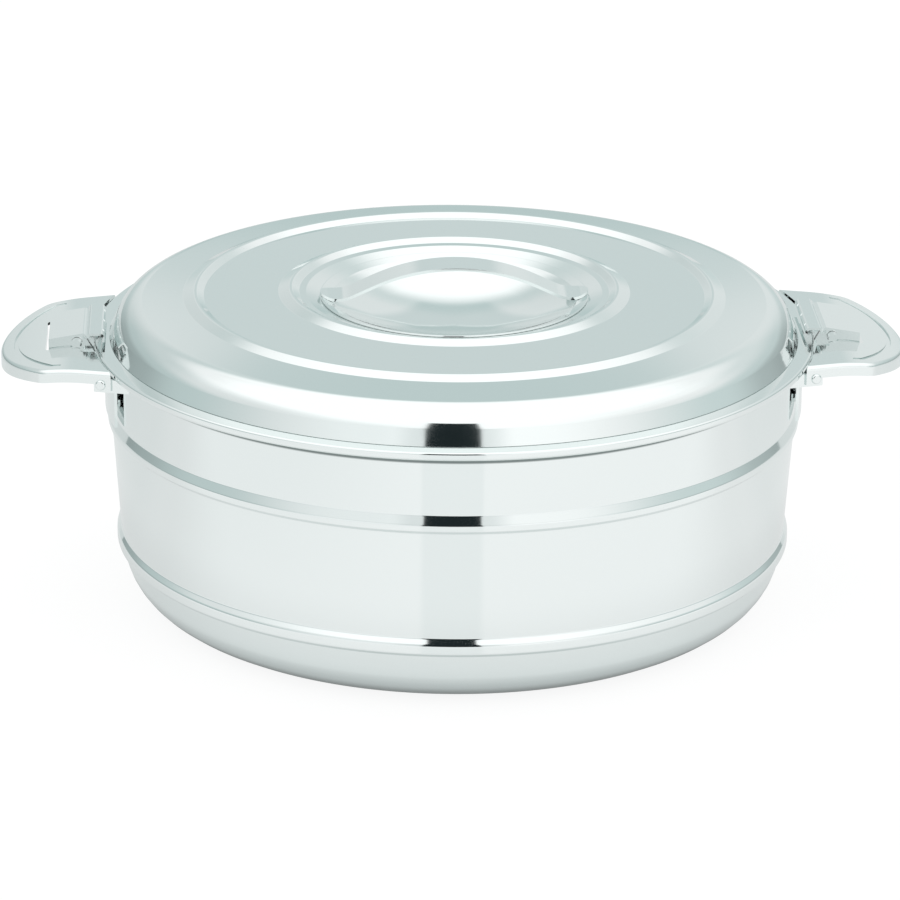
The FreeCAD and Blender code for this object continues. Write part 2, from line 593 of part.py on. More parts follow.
def rivet_holes():
    holes = []
    for side in (-1, 1):
        point, inward = rivet_line(side)
        start = point - inward * SIZE["rivet_head"]
        depth = SIZE["rivet_head"] * 2 + SIZE["wing_sheet"] + SIZE["bracket_sheet"]
        holes.append(Part.makeCylinder(SIZE["rivet_radius"] + SIZE["pin_play"], depth, start, inward))
    return holes


def handle_plate():
    sheet_thick = SIZE["wing_sheet"]
    root = SIZE["flange_radius"] + SIZE["wing_gap"]
    low = SIZE["wing_height"] - SIZE["bowl_radius"] / 3
    high = SIZE["wing_height"] + SIZE["wing_lip"]
    solid = wing_plan(0, root, low, high).common(drooping_slab(0, SIZE["wing_lip"]))
    top_edges = []
    for edge in solid.Edges:
        middle = edge.valueAt((edge.FirstParameter + edge.LastParameter) / 2)
        level = drooping_slab_height(middle.x)
        outside = math.hypot(middle.x, middle.y) > root + 1.0
        if outside and abs(middle.z - level) < 0.05 and not straight_across(edge):
            top_edges.append(edge)
    solid = solid.makeFillet(SIZE["wing_edge_round"], top_edges)
    hollow = wing_plan(sheet_thick, SIZE["bowl_radius"], low, high)
    solid = solid.cut(hollow.common(drooping_slab(sheet_thick, 2 * SIZE["wing_lip"])))
    solid = solid.fuse(wing_rim(0, sheet_thick, root, SIZE["rivet_height"] - SIZE["rivet_ear_drop"],
                                SIZE["wing_height"] - SIZE["wing_edge_round"])
                       .common(block(0, rivet_line(1)[0].x + SIZE["rivet_ear_margin"],
                                     2 * SIZE["wing_root_half"], low, high)))
    notch = block(root - SIZE["wing_root_half"], SIZE["notch_end"], SIZE["notch_half_width"], low, high,
                  SIZE["opening_corner"])
    slot = block(SIZE["notch_end"] - 1, SIZE["window_end"] - 1, SIZE["pad_half_width"] + SIZE["lever_play"],
                 low, high)
    window = block(SIZE["notch_end"] + SIZE["window_land"], SIZE["window_end"],
                   SIZE["pad_half_width"] + SIZE["window_margin"], low, high, SIZE["opening_corner"])
    groove = wing_plan(SIZE["groove_inset"], root, low, high)
    groove = groove.cut(wing_plan(SIZE["groove_inset"] + SIZE["groove_width"], root, low - 1, high + 1))
    groove = groove.common(block(SIZE["groove_start"], 2 * SIZE["wing_reach"], 2 * SIZE["wing_root_half"],
                                 low, high))
    groove = groove.common(drooping_slab(-1.0, 1.0 + SIZE["groove_depth"]))
    solid = solid.cut([notch, slot, window, groove] + rivet_holes())
    collar = block(SIZE["window_end"], SIZE["window_end"] + sheet_thick,
                   SIZE["pad_half_width"] + SIZE["window_margin"], low, high)
    solid = solid.fuse(collar.common(drooping_slab(sheet_thick / 2, SIZE["window_collar"])))
    ear_low = SIZE["pad_half_width"] + SIZE["ear_gap"]
    ear_high = ear_low + SIZE["ear_sheet"]
    half_ear = SIZE["window_land"] / 2
    land_middle = SIZE["notch_end"] + half_ear
    foot = [(land_middle - half_ear, SIZE["wing_height"] - sheet_thick / 2),
            (land_middle + half_ear, SIZE["wing_height"] - sheet_thick / 2),
            (land_middle + half_ear, SIZE["pin_height"]), (land_middle - half_ear, SIZE["pin_height"])]
    ear = polygon_across(foot, ear_low, ear_high)
    ear = ear.fuse(across(SIZE["ear_round"], SIZE["pin_at"], SIZE["pin_height"], ear_low, ear_high))
    ear = ear.cut(across(SIZE["pin_radius"] + SIZE["pin_play"], SIZE["pin_at"], SIZE["pin_height"],
                         ear_low - 1, ear_high + 1))
    return feature("handle_plate_right", solid.fuse(both_sides(ear)))


def drooping_slab_height(x):
    """Top of a handle plate at a distance from the axis."""
    beyond = x - SIZE["wing_drop_start"]
    bend = SIZE["wing_drop_bend"]
    angle = math.radians(SIZE["wing_drop_angle"])
    if beyond <= 0:
        return SIZE["wing_height"]
    if beyond <= bend * math.sin(angle):
        return SIZE["wing_height"] - bend + math.sqrt(bend ** 2 - beyond ** 2)
    past = beyond - bend * math.sin(angle)
    return SIZE["wing_height"] - bend * (1 - math.cos(angle)) - past * math.tan(angle)


def straight_across(edge):
    """True for an edge that lies across the plate, such as a seam of its top face."""
    first = edge.valueAt(edge.FirstParameter)
    last = edge.valueAt(edge.LastParameter)
    return abs(first.x - last.x) < 1e-3 and abs(first.y - last.y) > 2 * SIZE["notch_half_width"]


def handle_bracket():
    thick = SIZE["bracket_sheet"]
    inside = SIZE["wall_top_radius"] + SIZE["bracket_gap"]
    foot = SIZE["bracket_foot_height"]
    top = SIZE["bracket_arm_height"]
    angle = math.radians(SIZE["bracket_half_angle"])
    far = 2 * SIZE["flange_radius"]
    wedge = Part.makePolygon([Vector(0, 0, foot), Vector(far, -far * math.tan(angle), foot),
                              Vector(far, far * math.tan(angle), foot), Vector(0, 0, foot)])
    wedge = Part.Face(wedge).extrude(Vector(0, 0, top - foot))
    band = disc(inside + thick, foot, top).cut(disc(inside, foot, top)).common(wedge)
    ear_end = rivet_line(1)[0].x + SIZE["rivet_ear_margin"]
    arm = wing_plan(SIZE["wing_sheet"], inside, top - thick, top)
    arm = arm.common(block(0, ear_end, 2 * SIZE["wing_root_half"], top - thick, top)
                     .fuse(block(0, SIZE["bracket_arm_end"], SIZE["arm_tongue"], top - thick, top)))
    ear_top = SIZE["rivet_height"] + 0.9 * SIZE["rivet_head_radius"]
    ears = wing_rim(SIZE["wing_sheet"], thick, inside, top - thick, ear_top)
    ears = ears.common(block(0, ear_end, 2 * SIZE["wing_root_half"], top - thick, ear_top))
    hem_foot = SIZE["body_height"] - SIZE["flange_hem"]
    ears = ears.cut(disc(SIZE["flange_radius"] + SIZE["lid_clearance"], hem_foot - SIZE["lid_clearance"],
                         ear_top + 1))
    boss_back = disc(SIZE["wall_top_radius"] + SIZE["weld_gap"], foot, top)
    boss_room = disc(inside + thick / 2, foot, top).cut(boss_back)
    bosses = []
    for y in (-SIZE["weld_boss_y"], SIZE["weld_boss_y"]):
        for z in (foot + 2 * SIZE["weld_boss_radius"], top - 2 * SIZE["weld_boss_radius"]):
            axis = Vector(SIZE["bowl_radius"], y, z)
            boss = Part.makeCylinder(SIZE["weld_boss_radius"], far, axis, Vector(1, 0, 0))
            bosses.append(boss.common(boss_room))
    return feature("handle_bracket_right", band.fuse([arm, ears] + bosses).cut(rivet_holes()))


def handle_rivets():
    rivets = []
    for side in (-1, 1):
        point, inward = rivet_line(side)
        grip = SIZE["wing_sheet"] + SIZE["bracket_sheet"]
        shank = Part.makeCylinder(SIZE["rivet_radius"], grip, point, inward)
        head = Part.makeCylinder(SIZE["rivet_head_radius"], SIZE["rivet_head"], point, inward * -1)
        inner_end = point + inward * grip
        tail = Part.makeCylinder(SIZE["rivet_head_radius"], SIZE["rivet_head"] / 2, inner_end, inward)
        rim = [edge for edge in head.Edges if len(edge.Vertexes) == 1
               and edge.CenterOfMass.distanceToPoint(point) > SIZE["rivet_head"] / 2]
        head = head.makeFillet(0.8 * SIZE["rivet_head"], rim)
        rivets.append(shank.fuse([head, tail]).removeSplitter())
    return feature("handle_rivets_right", Part.makeCompound(rivets))


# ---------------------------------------------------------------- right latch
def pad_height(x):
    """Top of the thumb pad at a distance from the axis."""
    run = SIZE["pad_end"] - SIZE["pad_start"]
    fall = SIZE["pad_start_height"] - SIZE["pad_end_height"]
    return SIZE["pad_start_height"] - fall * (x - SIZE["pad_start"]) / run


def latch_lever():
    thick = SIZE["lever_sheet"]
    nose = SIZE["lid_radius"] + SIZE["clamp_nose_gap"]
    clamp = SIZE["clamp_height"]
    start = SIZE["pad_start"]
    end = SIZE["pad_end"]
    crease = start - 1.1 * thick
    bend = SIZE["clamp_nose_bend"]
    path = [(nose, clamp - SIZE["clamp_nose_drop"], 0),
            (nose, clamp, bend),
            (crease - 1.2 * thick, clamp, 0.8 * thick),
            (crease, SIZE["pad_start_height"] - SIZE["crease_depth"], 0.6 * thick),
            (start, SIZE["pad_start_height"], 0.6 * thick),
            (end, SIZE["pad_end_height"], 0)]
    low = SIZE["pin_height"] - 2 * SIZE["pad_skirt"]
    high = clamp + thick
    clamp_part = block(nose - 1, crease + 0.3 * thick, SIZE["clamp_half_width"], low, high, thick)
    pad_part = block(crease - thick, end, SIZE["pad_half_width"], low, high)
    top = widened(sheet_section(path, -thick), SIZE["clamp_half_width"]).common(clamp_part.fuse(pad_part))
    skirt = SIZE["pad_skirt"]
    knee = SIZE["notch_end"] + 2 * SIZE["opening_corner"] + SIZE["window_land"]
    side = [(start, pad_height(start) - thick / 2), (end, pad_height(end) - thick / 2),
            (end, pad_height(end) - skirt), (knee, pad_height(knee) - skirt),
            (SIZE["pin_at"], SIZE["pin_height"] - SIZE["ear_round"]),
            (SIZE["pin_at"] - SIZE["ear_round"], SIZE["pin_height"])]
    outer_face = SIZE["pad_half_width"]
    flange = polygon_across(side, outer_face - thick, outer_face)
    flange = flange.fuse(across(SIZE["ear_round"], SIZE["pin_at"], SIZE["pin_height"],
                                outer_face - thick, outer_face))
    flange = flange.cut(across(SIZE["pin_radius"] + SIZE["pin_play"], SIZE["pin_at"], SIZE["pin_height"],
                               0, outer_face + 1))
    darts = []
    reach = bend + SIZE["dart_radius"] - SIZE["dart_depth"]
    for step in (-1, 0, 1):
        centre = Vector(nose + bend - reach * math.sqrt(0.5), step * SIZE["dart_pitch"],
                        clamp - bend + reach * math.sqrt(0.5))
        darts.append(Part.makeSphere(SIZE["dart_radius"], centre))
    return feature("latch_lever_right", top.fuse(both_sides(flange)).cut(darts))


def latch_pin():
    """A shaft with a flat head at each end, drawn from cylinders bound to the sheet."""
    ear_outside = "(pad_half_width + ear_gap + ear_sheet)"
    rods = (("shaft", "pin_radius * 1.0", "2 * " + ear_outside, "-" + ear_outside),
            ("front_head", "pin_head_radius * 1.0", "pin_head * 1.0", "-" + ear_outside + " - pin_head"),
            ("back_head", "pin_head_radius * 1.0", "pin_head * 1.0", ear_outside))
    pieces = []
    for name, radius, length, start in rods:
        rod = doc.addObject("Part::Cylinder", "latch_pin_" + name)
        rod.Placement = FreeCAD.Placement(Vector(0, 0, 0), FreeCAD.Rotation(Vector(1, 0, 0), -90))
        rod.setExpression("Radius", bound(radius))
        rod.setExpression("Height", bound(length))
        rod.setExpression("Placement.Base.x", bound("pin_at * 1.0"))
        rod.setExpression("Placement.Base.y", bound(start))
        rod.setExpression("Placement.Base.z", bound("pin_height * 1.0"))
        pieces.append(rod)
    pin = doc.addObject("Part::MultiFuse", "latch_pin_right")
    pin.Label = "latch_pin_right"
    pin.Shapes = pieces
    pin.Refine = True
    return pin


def latch_spring():
    """Torsion spring round the pin: one leg under the thumb pad, the other down on the bracket's arm."""
    wire = SIZE["spring_wire"] / 2
    coil = SIZE["spring_coil"]
    centre = Vector(SIZE["pin_at"], 0, SIZE["pin_height"])
    run = SIZE["pad_end"] - SIZE["pad_start"]
    tilt = math.degrees(math.atan2(SIZE["pad_start_height"] - SIZE["pad_end_height"], run))
    first = 90.0 - tilt
    last = 180.0 - SIZE["spring_rest_angle"]
    turns = SIZE["spring_turns"] + (last - first) / 360.0
    length = turns * SIZE["spring_pitch"]
    helix = Part.makeHelix(SIZE["spring_pitch"], length, coil)
    ring = Part.Wire(Part.makeCircle(wire, Vector(coil, 0, 0), Vector(0, 1, 0)))
    solid = Part.Wire(helix.Edges).makePipeShell([ring], True, True)
    solid.rotate(Vector(0, 0, 0), Vector(0, 0, 1), first)
    solid.rotate(Vector(0, 0, 0), Vector(1, 0, 0), 90)
    solid.translate(centre + Vector(0, length / 2, 0))
    pieces = []
    lean = math.radians(SIZE["spring_rest_angle"])
    fall = SIZE["pin_height"] - SIZE["bracket_arm_height"] - SIZE["spring_play"]
    rest = (fall + (coil - wire) * math.sin(lean)) / math.cos(lean)
    legs = ((first, length / 2, -90.0, SIZE["spring_pad_leg"]), (last, -length / 2, 90.0, rest))
    for angle, y, quarter, reach in legs:
        at = math.radians(angle)
        along = math.radians(angle + quarter)
        start = centre + Vector(coil * math.cos(at), y, coil * math.sin(at))
        way = Vector(math.cos(along), 0, math.sin(along))
        pieces += [Part.makeCylinder(wire, reach, start, way), Part.makeSphere(wire, start)]
    return feature("latch_spring_right", solid.fuse(pieces))


# ---------------------------------------------------------------- assembly
central = [outer_shell(), inner_bowl(), body_insulation(), lid_outer_shell(), lid_inner_shell(),
           lid_insulation(), lid_gasket(), grip_cup(), grip_strap()]
right = [handle_plate(), handle_bracket(), handle_rivets(), latch_lever(), latch_pin(), latch_spring()]
left = [mirrored(item) for item in right]
doc.recompute()

for item in doc.Objects:
    if "Invalid" in item.State or "Error" in item.State:
        raise RuntimeError("failed object: " + item.Label)
os.makedirs("parts", exist_ok=True)
for item in central + right + left:
    shape = item.Shape
    if shape.isNull() or not shape.isValid() or not shape.Solids:
        raise RuntimeError("bad shape: " + item.Label)
    shape.exportStep(os.path.join("parts", item.Label + ".step"))
    print("%-22s solids %d  volume %9.1f" % (item.Label, len(shape.Solids), shape.Volume))
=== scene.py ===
# %% [markdown]
# # An insulated chapati casserole in polished steel
# The imported solids are the skeleton: they say where each piece is and which body it moves with. This lesson
# dresses them. The thin pressed shells are modelled again with finer curves, because a mirror shows every facet,
# the latch springs are copied, and the small folded pieces keep their solids and get their finish.

# %% Load the fixed frame
import bpy
import math
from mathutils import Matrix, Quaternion, Vector


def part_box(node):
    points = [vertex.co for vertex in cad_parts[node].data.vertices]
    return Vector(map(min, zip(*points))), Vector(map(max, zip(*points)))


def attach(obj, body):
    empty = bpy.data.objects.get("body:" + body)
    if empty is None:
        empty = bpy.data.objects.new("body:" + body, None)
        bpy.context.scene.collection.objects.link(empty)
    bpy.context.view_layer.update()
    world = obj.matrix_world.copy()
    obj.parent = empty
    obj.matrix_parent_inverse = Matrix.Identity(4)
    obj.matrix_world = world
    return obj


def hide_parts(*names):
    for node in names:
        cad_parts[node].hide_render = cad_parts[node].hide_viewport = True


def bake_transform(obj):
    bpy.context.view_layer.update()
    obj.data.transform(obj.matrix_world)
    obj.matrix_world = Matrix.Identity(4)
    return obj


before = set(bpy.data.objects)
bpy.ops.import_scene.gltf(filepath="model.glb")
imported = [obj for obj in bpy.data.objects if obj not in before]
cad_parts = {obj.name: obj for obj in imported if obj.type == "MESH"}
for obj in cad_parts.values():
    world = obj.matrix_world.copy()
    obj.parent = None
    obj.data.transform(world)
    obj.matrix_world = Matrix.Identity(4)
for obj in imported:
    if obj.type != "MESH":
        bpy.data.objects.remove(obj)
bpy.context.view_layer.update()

MM = 0.001
SIDES = ("right", "left")

print("pieces from the solids:", len(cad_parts))

# %% [markdown]
# ## The camera
# A long lens from about two metres, twenty degrees above the table, keeps the circles of the pot near to true
# ellipses. The pot is turned a little, so the camera stands slightly to the left of its front.

# %% Place the camera
AIM = Vector((0.0, 0.0, 60 * MM))
VIEW_DISTANCE = 1911.3 * MM
VIEW_HEIGHT = math.radians(20.117)
POT_TURN = math.radians(2.9)
VIEW_ROLL = math.radians(0.464)
FILM_WIDTH = 36.0
LENS_LENGTH = 187.76
PICTURE_WIDTH = 900
SHIFT_ACROSS, SHIFT_UP = -2.94, -2.91
NEAREST, FARTHEST = 0.05, 50.0

flat = math.cos(VIEW_HEIGHT)
away = Vector((-math.sin(POT_TURN) * flat, -math.cos(POT_TURN) * flat, math.sin(VIEW_HEIGHT)))
bpy.ops.object.camera_add(location=AIM + away * VIEW_DISTANCE)
camera = bpy.context.object
camera.name = "studio_camera"
camera.rotation_mode = "QUATERNION"
camera.rotation_quaternion = (-away).to_track_quat("-Z", "Y") @ Quaternion((0, 0, 1), VIEW_ROLL)
camera.data.sensor_width = FILM_WIDTH
camera.data.lens = LENS_LENGTH
camera.data.shift_x = SHIFT_ACROSS / PICTURE_WIDTH
camera.data.shift_y = SHIFT_UP / PICTURE_WIDTH
camera.data.clip_start = NEAREST
camera.data.clip_end = FARTHEST
bpy.context.scene.camera = camera
bpy.context.scene.view_settings.view_transform = "Standard"
print("camera at", tuple(round(c, 3) for c in camera.location))

# %% [markdown]
# ## Small helpers for node trees
# Every finish here is a tree of shader nodes. The first helpers add a node, wire two sockets and do one sum, so
# that each finish below reads as a list of what it is made of.

# %% Helpers that add, wire and count
def add_node(tree, kind, place, **settings):
    item = tree.nodes.new(kind)
    item.location = place
    for name, value in settings.items():
        setattr(item, name, value)
    return item


def wire(tree, source, target):
    tree.links.new(source, target)


def number(tree, operation, place, *terms):
    """One sum. Each term is a plain number or the socket that gives it."""
    item = add_node(tree, "ShaderNodeMath", place, operation=operation)
    for socket, term in zip(item.inputs, terms):
        if isinstance(term, (int, float)):
            socket.default_value = term
        else:
            wire(tree, term, socket)
    return item.outputs[0]


print("helpers for sums ready")

# %% [markdown]
# ## Helpers for colours and masks
# A ramp turns a number into a colour, a share says how far a number has come between two limits, and blend and tint
# lay one colour over another.

# %% Helpers that colour and mask
def ramp(tree, place, source, stops):
    item = add_node(tree, "ShaderNodeValToRGB", place)
    item.color_ramp.interpolation = "EASE"
    while len(item.color_ramp.elements) < len(stops):
        item.color_ramp.elements.new(0.5)
    for element, (at, colour) in zip(item.color_ramp.elements, stops):
        element.position = at
        element.color = (*colour, 1.0)
    wire(tree, source, item.inputs["Fac"])
    return item.outputs["Color"]


def share(tree, place, source, limits):
    """How far a number has come from the first limit, 0, to the second, 1, with soft ends."""
    item = add_node(tree, "ShaderNodeMapRange", place, interpolation_type="SMOOTHSTEP")
    wire(tree, source, item.inputs["Value"])
    item.inputs["From Min"].default_value, item.inputs["From Max"].default_value = limits
    return item.outputs["Result"]


def blend(tree, place, factor, first, second):
    item = add_node(tree, "ShaderNodeMix", place, data_type="RGBA")
    wire(tree, factor, item.inputs["Factor"])
    for socket, value in ((item.inputs[6], first), (item.inputs[7], second)):
        if isinstance(value, tuple):
            socket.default_value = (*value, 1.0)
        else:
            wire(tree, value, socket)
    return item.outputs[2]


def tint(tree, place, colour, shade):
    item = add_node(tree, "ShaderNodeVectorMath", place, operation="MULTIPLY")
    wire(tree, colour, item.inputs[0])
    item.inputs[1].default_value = shade
    return item.outputs[0]


print("helpers for colours ready")

# %% [markdown]
# ## Helpers for unevenness and for place
# Noise and relief make the small unevenness that real metal and foam have. The last helper splits a place or a
# direction into three numbers, as somebody sees it who stands at the camera.

# %% Helpers for unevenness and for place
def noise(tree, place, position, scale, detail):
    item = add_node(tree, "ShaderNodeTexNoise", place)
    item.inputs["Scale"].default_value = scale
    item.inputs["Detail"].default_value = detail
    wire(tree, position, item.inputs["Vector"])
    return item.outputs["Fac"]


def relief(tree, place, height, depth):
    item = add_node(tree, "ShaderNodeBump", place)
    item.inputs["Strength"].default_value = 1.0
    item.inputs["Distance"].default_value = depth
    wire(tree, height, item.inputs["Height"])
    return item.outputs["Normal"]


def seen_squarely(tree, place, source):
    """The parts of a place or a direction across, along and up, where along points away from the camera."""
    turned = add_node(tree, "ShaderNodeVectorRotate", place, rotation_type="Z_AXIS")
    turned.inputs["Angle"].default_value = POT_TURN
    wire(tree, source, turned.inputs["Vector"])
    parts = add_node(tree, "ShaderNodeSeparateXYZ", (place[0] + 200, place[1]))
    wire(tree, turned.outputs["Vector"], parts.inputs["Vector"])
    return parts.outputs


print("helpers for unevenness and place ready")

# %% [markdown]
# ## The studio round the pot
# A mirror has no colour of its own: it shows the room. The room here is a white light tent: a bright ceiling, grey
# cloth from the table up to about forty degrees, and one dark gap in front, where the camera looks in. Each of the
# four lists is one part of the cloth, as pairs of a height in degrees above the table and the brightness there.

# %% Choose how bright the cloth is
NEUTRAL_FROM = 0.92
SHADE_WITHIN = 0.16
CLOTH_CAST = 0.115
BLUE_LOSS = 0.06

TENT_BACK = [(-90, 0.60), (-10, 0.55), (3, 0.74), (12, 0.86), (25, 0.87), (35, 0.80), (46, 1.25)]
TENT_CORNER = [(-90, 0.60), (-12, 0.52), (-3, 0.42), (5, 0.52), (14, 0.70), (31, 0.84), (44, 1.06), (54, 1.25)]
TENT_SIDE = [(-90, 0.90), (-10, 0.72), (3, 0.56), (14, 0.76), (28, 1.00), (38, 1.14), (48, 1.25)]
TENT_FRONT = [(-90, 0.98), (-12, 1.10), (6, 1.20), (15, 1.02), (24, 1.10), (31, 1.18), (39, 1.25)]


def cool_white(strength, cast=CLOTH_CAST):
    """White cloth in full light is neutral, and it turns a little blue-green where it falls into shade."""
    shade = min(1.0, max(0.0, (NEUTRAL_FROM - strength) / SHADE_WITHIN))
    return (strength * (1.0 - cast * shade), strength, strength * (1.0 - BLUE_LOSS * cast * shade))


def at_height(degrees):
    """A height above the table as the tent counts it: 0 is straight down and 1 is straight up."""
    return (degrees + 90.0) / 180.0


def cloth_stops(tones):
    return [(at_height(height), cool_white(strength)) for height, strength in tones]


print("cloth lists:", [len(tones) for tones in (TENT_BACK, TENT_CORNER, TENT_SIDE, TENT_FRONT)], "stops")

# %% [markdown]
# ## Where each part of the tent hangs
# The tent is painted on the world by direction. A direction has a height, and a bearing that is 0 straight behind the
# pot and 180 degrees at the camera. The back cloth is laid first, and each next cloth takes over from it between two
# bearings, the same on the left as on the right.

# %% Hang the cloth from the back round to the front
CORNER_BEARING = (14, 34)
SIDE_BEARING = (48, 84)
FRONT_BEARING = (104, 146)

world = bpy.data.worlds.new("light_tent")
bpy.context.scene.world = world
world.use_nodes = True
sky = world.node_tree
sky.nodes.clear()
direction = add_node(sky, "ShaderNodeTexCoord", (-1800, 0)).outputs["Generated"]
across, along, up = seen_squarely(sky, (-1600, 0), direction)
height = number(sky, "ARCSINE", (-1200, -200), up)
height = number(sky, "MULTIPLY_ADD", (-1000, -200), height, 1.0 / math.pi, 0.5)
bearing = number(sky, "ARCTAN2", (-1200, 200), across, along)
bearing = number(sky, "ABSOLUTE", (-1000, 200), bearing)


def bearing_share(place, limits):
    return share(sky, place, bearing, [math.radians(limit) for limit in limits])


def height_share(place, limits):
    return share(sky, place, height, [at_height(limit) for limit in limits])


tent = ramp(sky, (-700, 300), height, cloth_stops(TENT_BACK))
for row, (limits, tones) in enumerate(((CORNER_BEARING, TENT_CORNER), (SIDE_BEARING, TENT_SIDE),
                                       (FRONT_BEARING, TENT_FRONT))):
    cloth = ramp(sky, (-700, 50 - 250 * row), height, cloth_stops(tones))
    tent = blend(sky, (200 * row - 400, 200), bearing_share((-700, 600 + 250 * row), limits), tent, cloth)
print("the tent has", len(sky.nodes), "nodes so far")

# %% [markdown]
# ## Darker places in the cloth
# No real tent is even. The left side stands further from the lamps, a seam runs down the middle of the back, and the
# cloth under the camera lies in its shade. Each of the three reaches up to a height of its own.

# %% Shade three parts of the cloth
LEFT_REACH, LEFT_TOP, LEFT_SHADE = (-0.04, -0.40), (44, 34), (0.86, 0.88, 0.88)
SEAM_BEARING, SEAM_TOP, SEAM_SHADE = (9.5, 6.5), (40, 35), (0.81, 0.86, 0.86)
MIDDLE_BEARING, MIDDLE_TOP, MIDDLE_SHADE = (158.0, 168.0), (37, 31), (0.80, 0.82, 0.82)

left = share(sky, (-700, 1400), across, LEFT_REACH)
seam = bearing_share((-700, 1900), SEAM_BEARING)
middle = bearing_share((-700, 2400), MIDDLE_BEARING)
for row, (part, top, shade) in enumerate(((left, LEFT_TOP, LEFT_SHADE), (seam, SEAM_TOP, SEAM_SHADE),
                                          (middle, MIDDLE_TOP, MIDDLE_SHADE))):
    below = height_share((-700, 1650 + 500 * row), top)
    patch = number(sky, "MULTIPLY", (-400, 1400 + 500 * row), part, below)
    shaded = tint(sky, (200 + 400 * row, 0), tent, shade)
    tent = blend(sky, (400 + 400 * row, 200), patch, tent, shaded)
print("shaded parts: left side, back seam, middle of the front")

# %% [markdown]
# ## The gap in front
# The camera looks in through a narrow gap. The lid's shoulder and the beads show it as short dark bars, and the wall
# between them, which mirrors the table, doesn't. Below about twenty-seven degrees only the first mirror sees the gap.
# Light that has left one steel face for another finds cloth there, or else the sides of the thumb pads would turn
# black. The lens itself sees plain white behind the pot.

# %% Cut the gap and finish the tent
GAP_BEARING = (170.1, 170.5)
GAP_FOOT = (-9.0, -7.0)
GAP_TOP = (50.6, 49.6)
GAP_FOR_ALL = (26, 28)
GAP_DARK = (0.015, 0.022, 0.024)
FIRST_MIRROR = 2.5
PLAIN_WHITE = (1.0, 1.0, 1.0)

gap = number(sky, "MULTIPLY", (200, 1000), bearing_share((0, 1000), GAP_BEARING), height_share((0, 1250), GAP_FOOT))
gap = number(sky, "MULTIPLY", (400, 1000), gap, height_share((200, 1500), GAP_TOP))
rays = add_node(sky, "ShaderNodeLightPath", (0, 600))
in_sight = number(sky, "LESS_THAN", (400, 700), rays.outputs["Ray Depth"], FIRST_MIRROR)
in_sight = number(sky, "MAXIMUM", (600, 700), in_sight, height_share((400, 500), GAP_FOR_ALL))
gap = number(sky, "MULTIPLY", (800, 1000), gap, in_sight)
tent = blend(sky, (1400, 300), gap, tent, GAP_DARK)
seen = blend(sky, (1600, 300), rays.outputs["Is Camera Ray"], tent, PLAIN_WHITE)
backdrop = add_node(sky, "ShaderNodeBackground", (1800, 300))
wire(sky, seen, backdrop.inputs["Color"])
wire(sky, backdrop.outputs[0], add_node(sky, "ShaderNodeOutputWorld", (2000, 300)).inputs["Surface"])
print("the tent has", len(sky.nodes), "nodes")

# %% [markdown]
# ## The table
# The table is a wide white sheet under the foot. It is only scenery, and it is hung under no body.

# %% Lay the table
SHEET_WIDTH = 8.0
SHEET_DROP = 0.2 * MM

bpy.ops.object.select_all(action="DESELECT")
bpy.ops.mesh.primitive_plane_add(size=SHEET_WIDTH, location=(0, 0, -SHEET_DROP))
table = bpy.context.object
table.name = "studio_table"
bpy.ops.object.transform_apply(location=True)
print("table laid at", round(table.data.vertices[0].co.z / MM, 2), "mm")

# %% [markdown]
# ## What the steel sees of the table
# The sheet mostly glows, and what the steel sees of it is painted light, whiter in front than behind. The tones along
# the sheet run from half a metre in front of the axis, 0, to half a metre behind it, 1, and the tones round the foot,
# by the distance from the axis in metres, paint the pot's shadow on the sheet there. A narrow strip of painted shade
# that widens towards the camera and painted shade over the whole left side darken it a little more.

# %% Tone the sheet
SHEET_CAST = 0.05
# Painted light: the steel sees the sheet whiter in front than behind.
SHEET_LIGHT_TONES = ((0.0, 1.07), (0.37, 1.05), (0.48, 0.92), (0.56, 0.87), (0.70, 0.83), (1.0, 0.76))
HALF_METRE = 0.5
# Painted shadow of the pot on the sheet round its foot.
FOOT_SHADOW_TONES = ((0.108, 0.10), (0.119, 0.27), (0.128, 0.60), (0.139, 0.83), (0.165, 0.91), (0.22, 1.0))
# Painted shade: a narrow strip on the sheet that widens towards the camera.
SHADE_STRIP_START = (-0.15, -0.18)
SHADE_STRIP_SLOPE = 0.177
SHADE_STRIP_EDGE = (-0.008, -0.016)
SHADE_STRIP_TINT = (0.92, 0.935, 0.935)
SHEET_LEFT = (0.0, -0.30)
SHEET_LEFT_SHADE = (0.92, 0.93, 0.93)

white_sheet = bpy.data.materials.new("white_sheet")
white_sheet.use_nodes = True
sheet = white_sheet.node_tree
sheet.nodes.clear()
spot = add_node(sheet, "ShaderNodeTexCoord", (-1800, 0)).outputs["Object"]
across, along, _ = seen_squarely(sheet, (-1600, 0), spot)
behind = number(sheet, "ADD", (-1200, 0), along, HALF_METRE)
sheet_tone = ramp(sheet, (-1000, 0), behind, [(at, cool_white(tone, SHEET_CAST)) for at, tone in SHEET_LIGHT_TONES])
distance = add_node(sheet, "ShaderNodeVectorMath", (-1200, -300), operation="LENGTH")
wire(sheet, spot, distance.inputs[0])
foot_shadow_tone = ramp(sheet, (-1000, -300), distance.outputs["Value"],
                 [(at, cool_white(tone, SHEET_CAST)) for at, tone in FOOT_SHADOW_TONES])
darkened = add_node(sheet, "ShaderNodeMix", (-700, -200), data_type="RGBA", blend_type="MULTIPLY")
darkened.inputs["Factor"].default_value = 1.0
wire(sheet, sheet_tone, darkened.inputs[6])
wire(sheet, foot_shadow_tone, darkened.inputs[7])
sheet_tone = darkened.outputs[2]
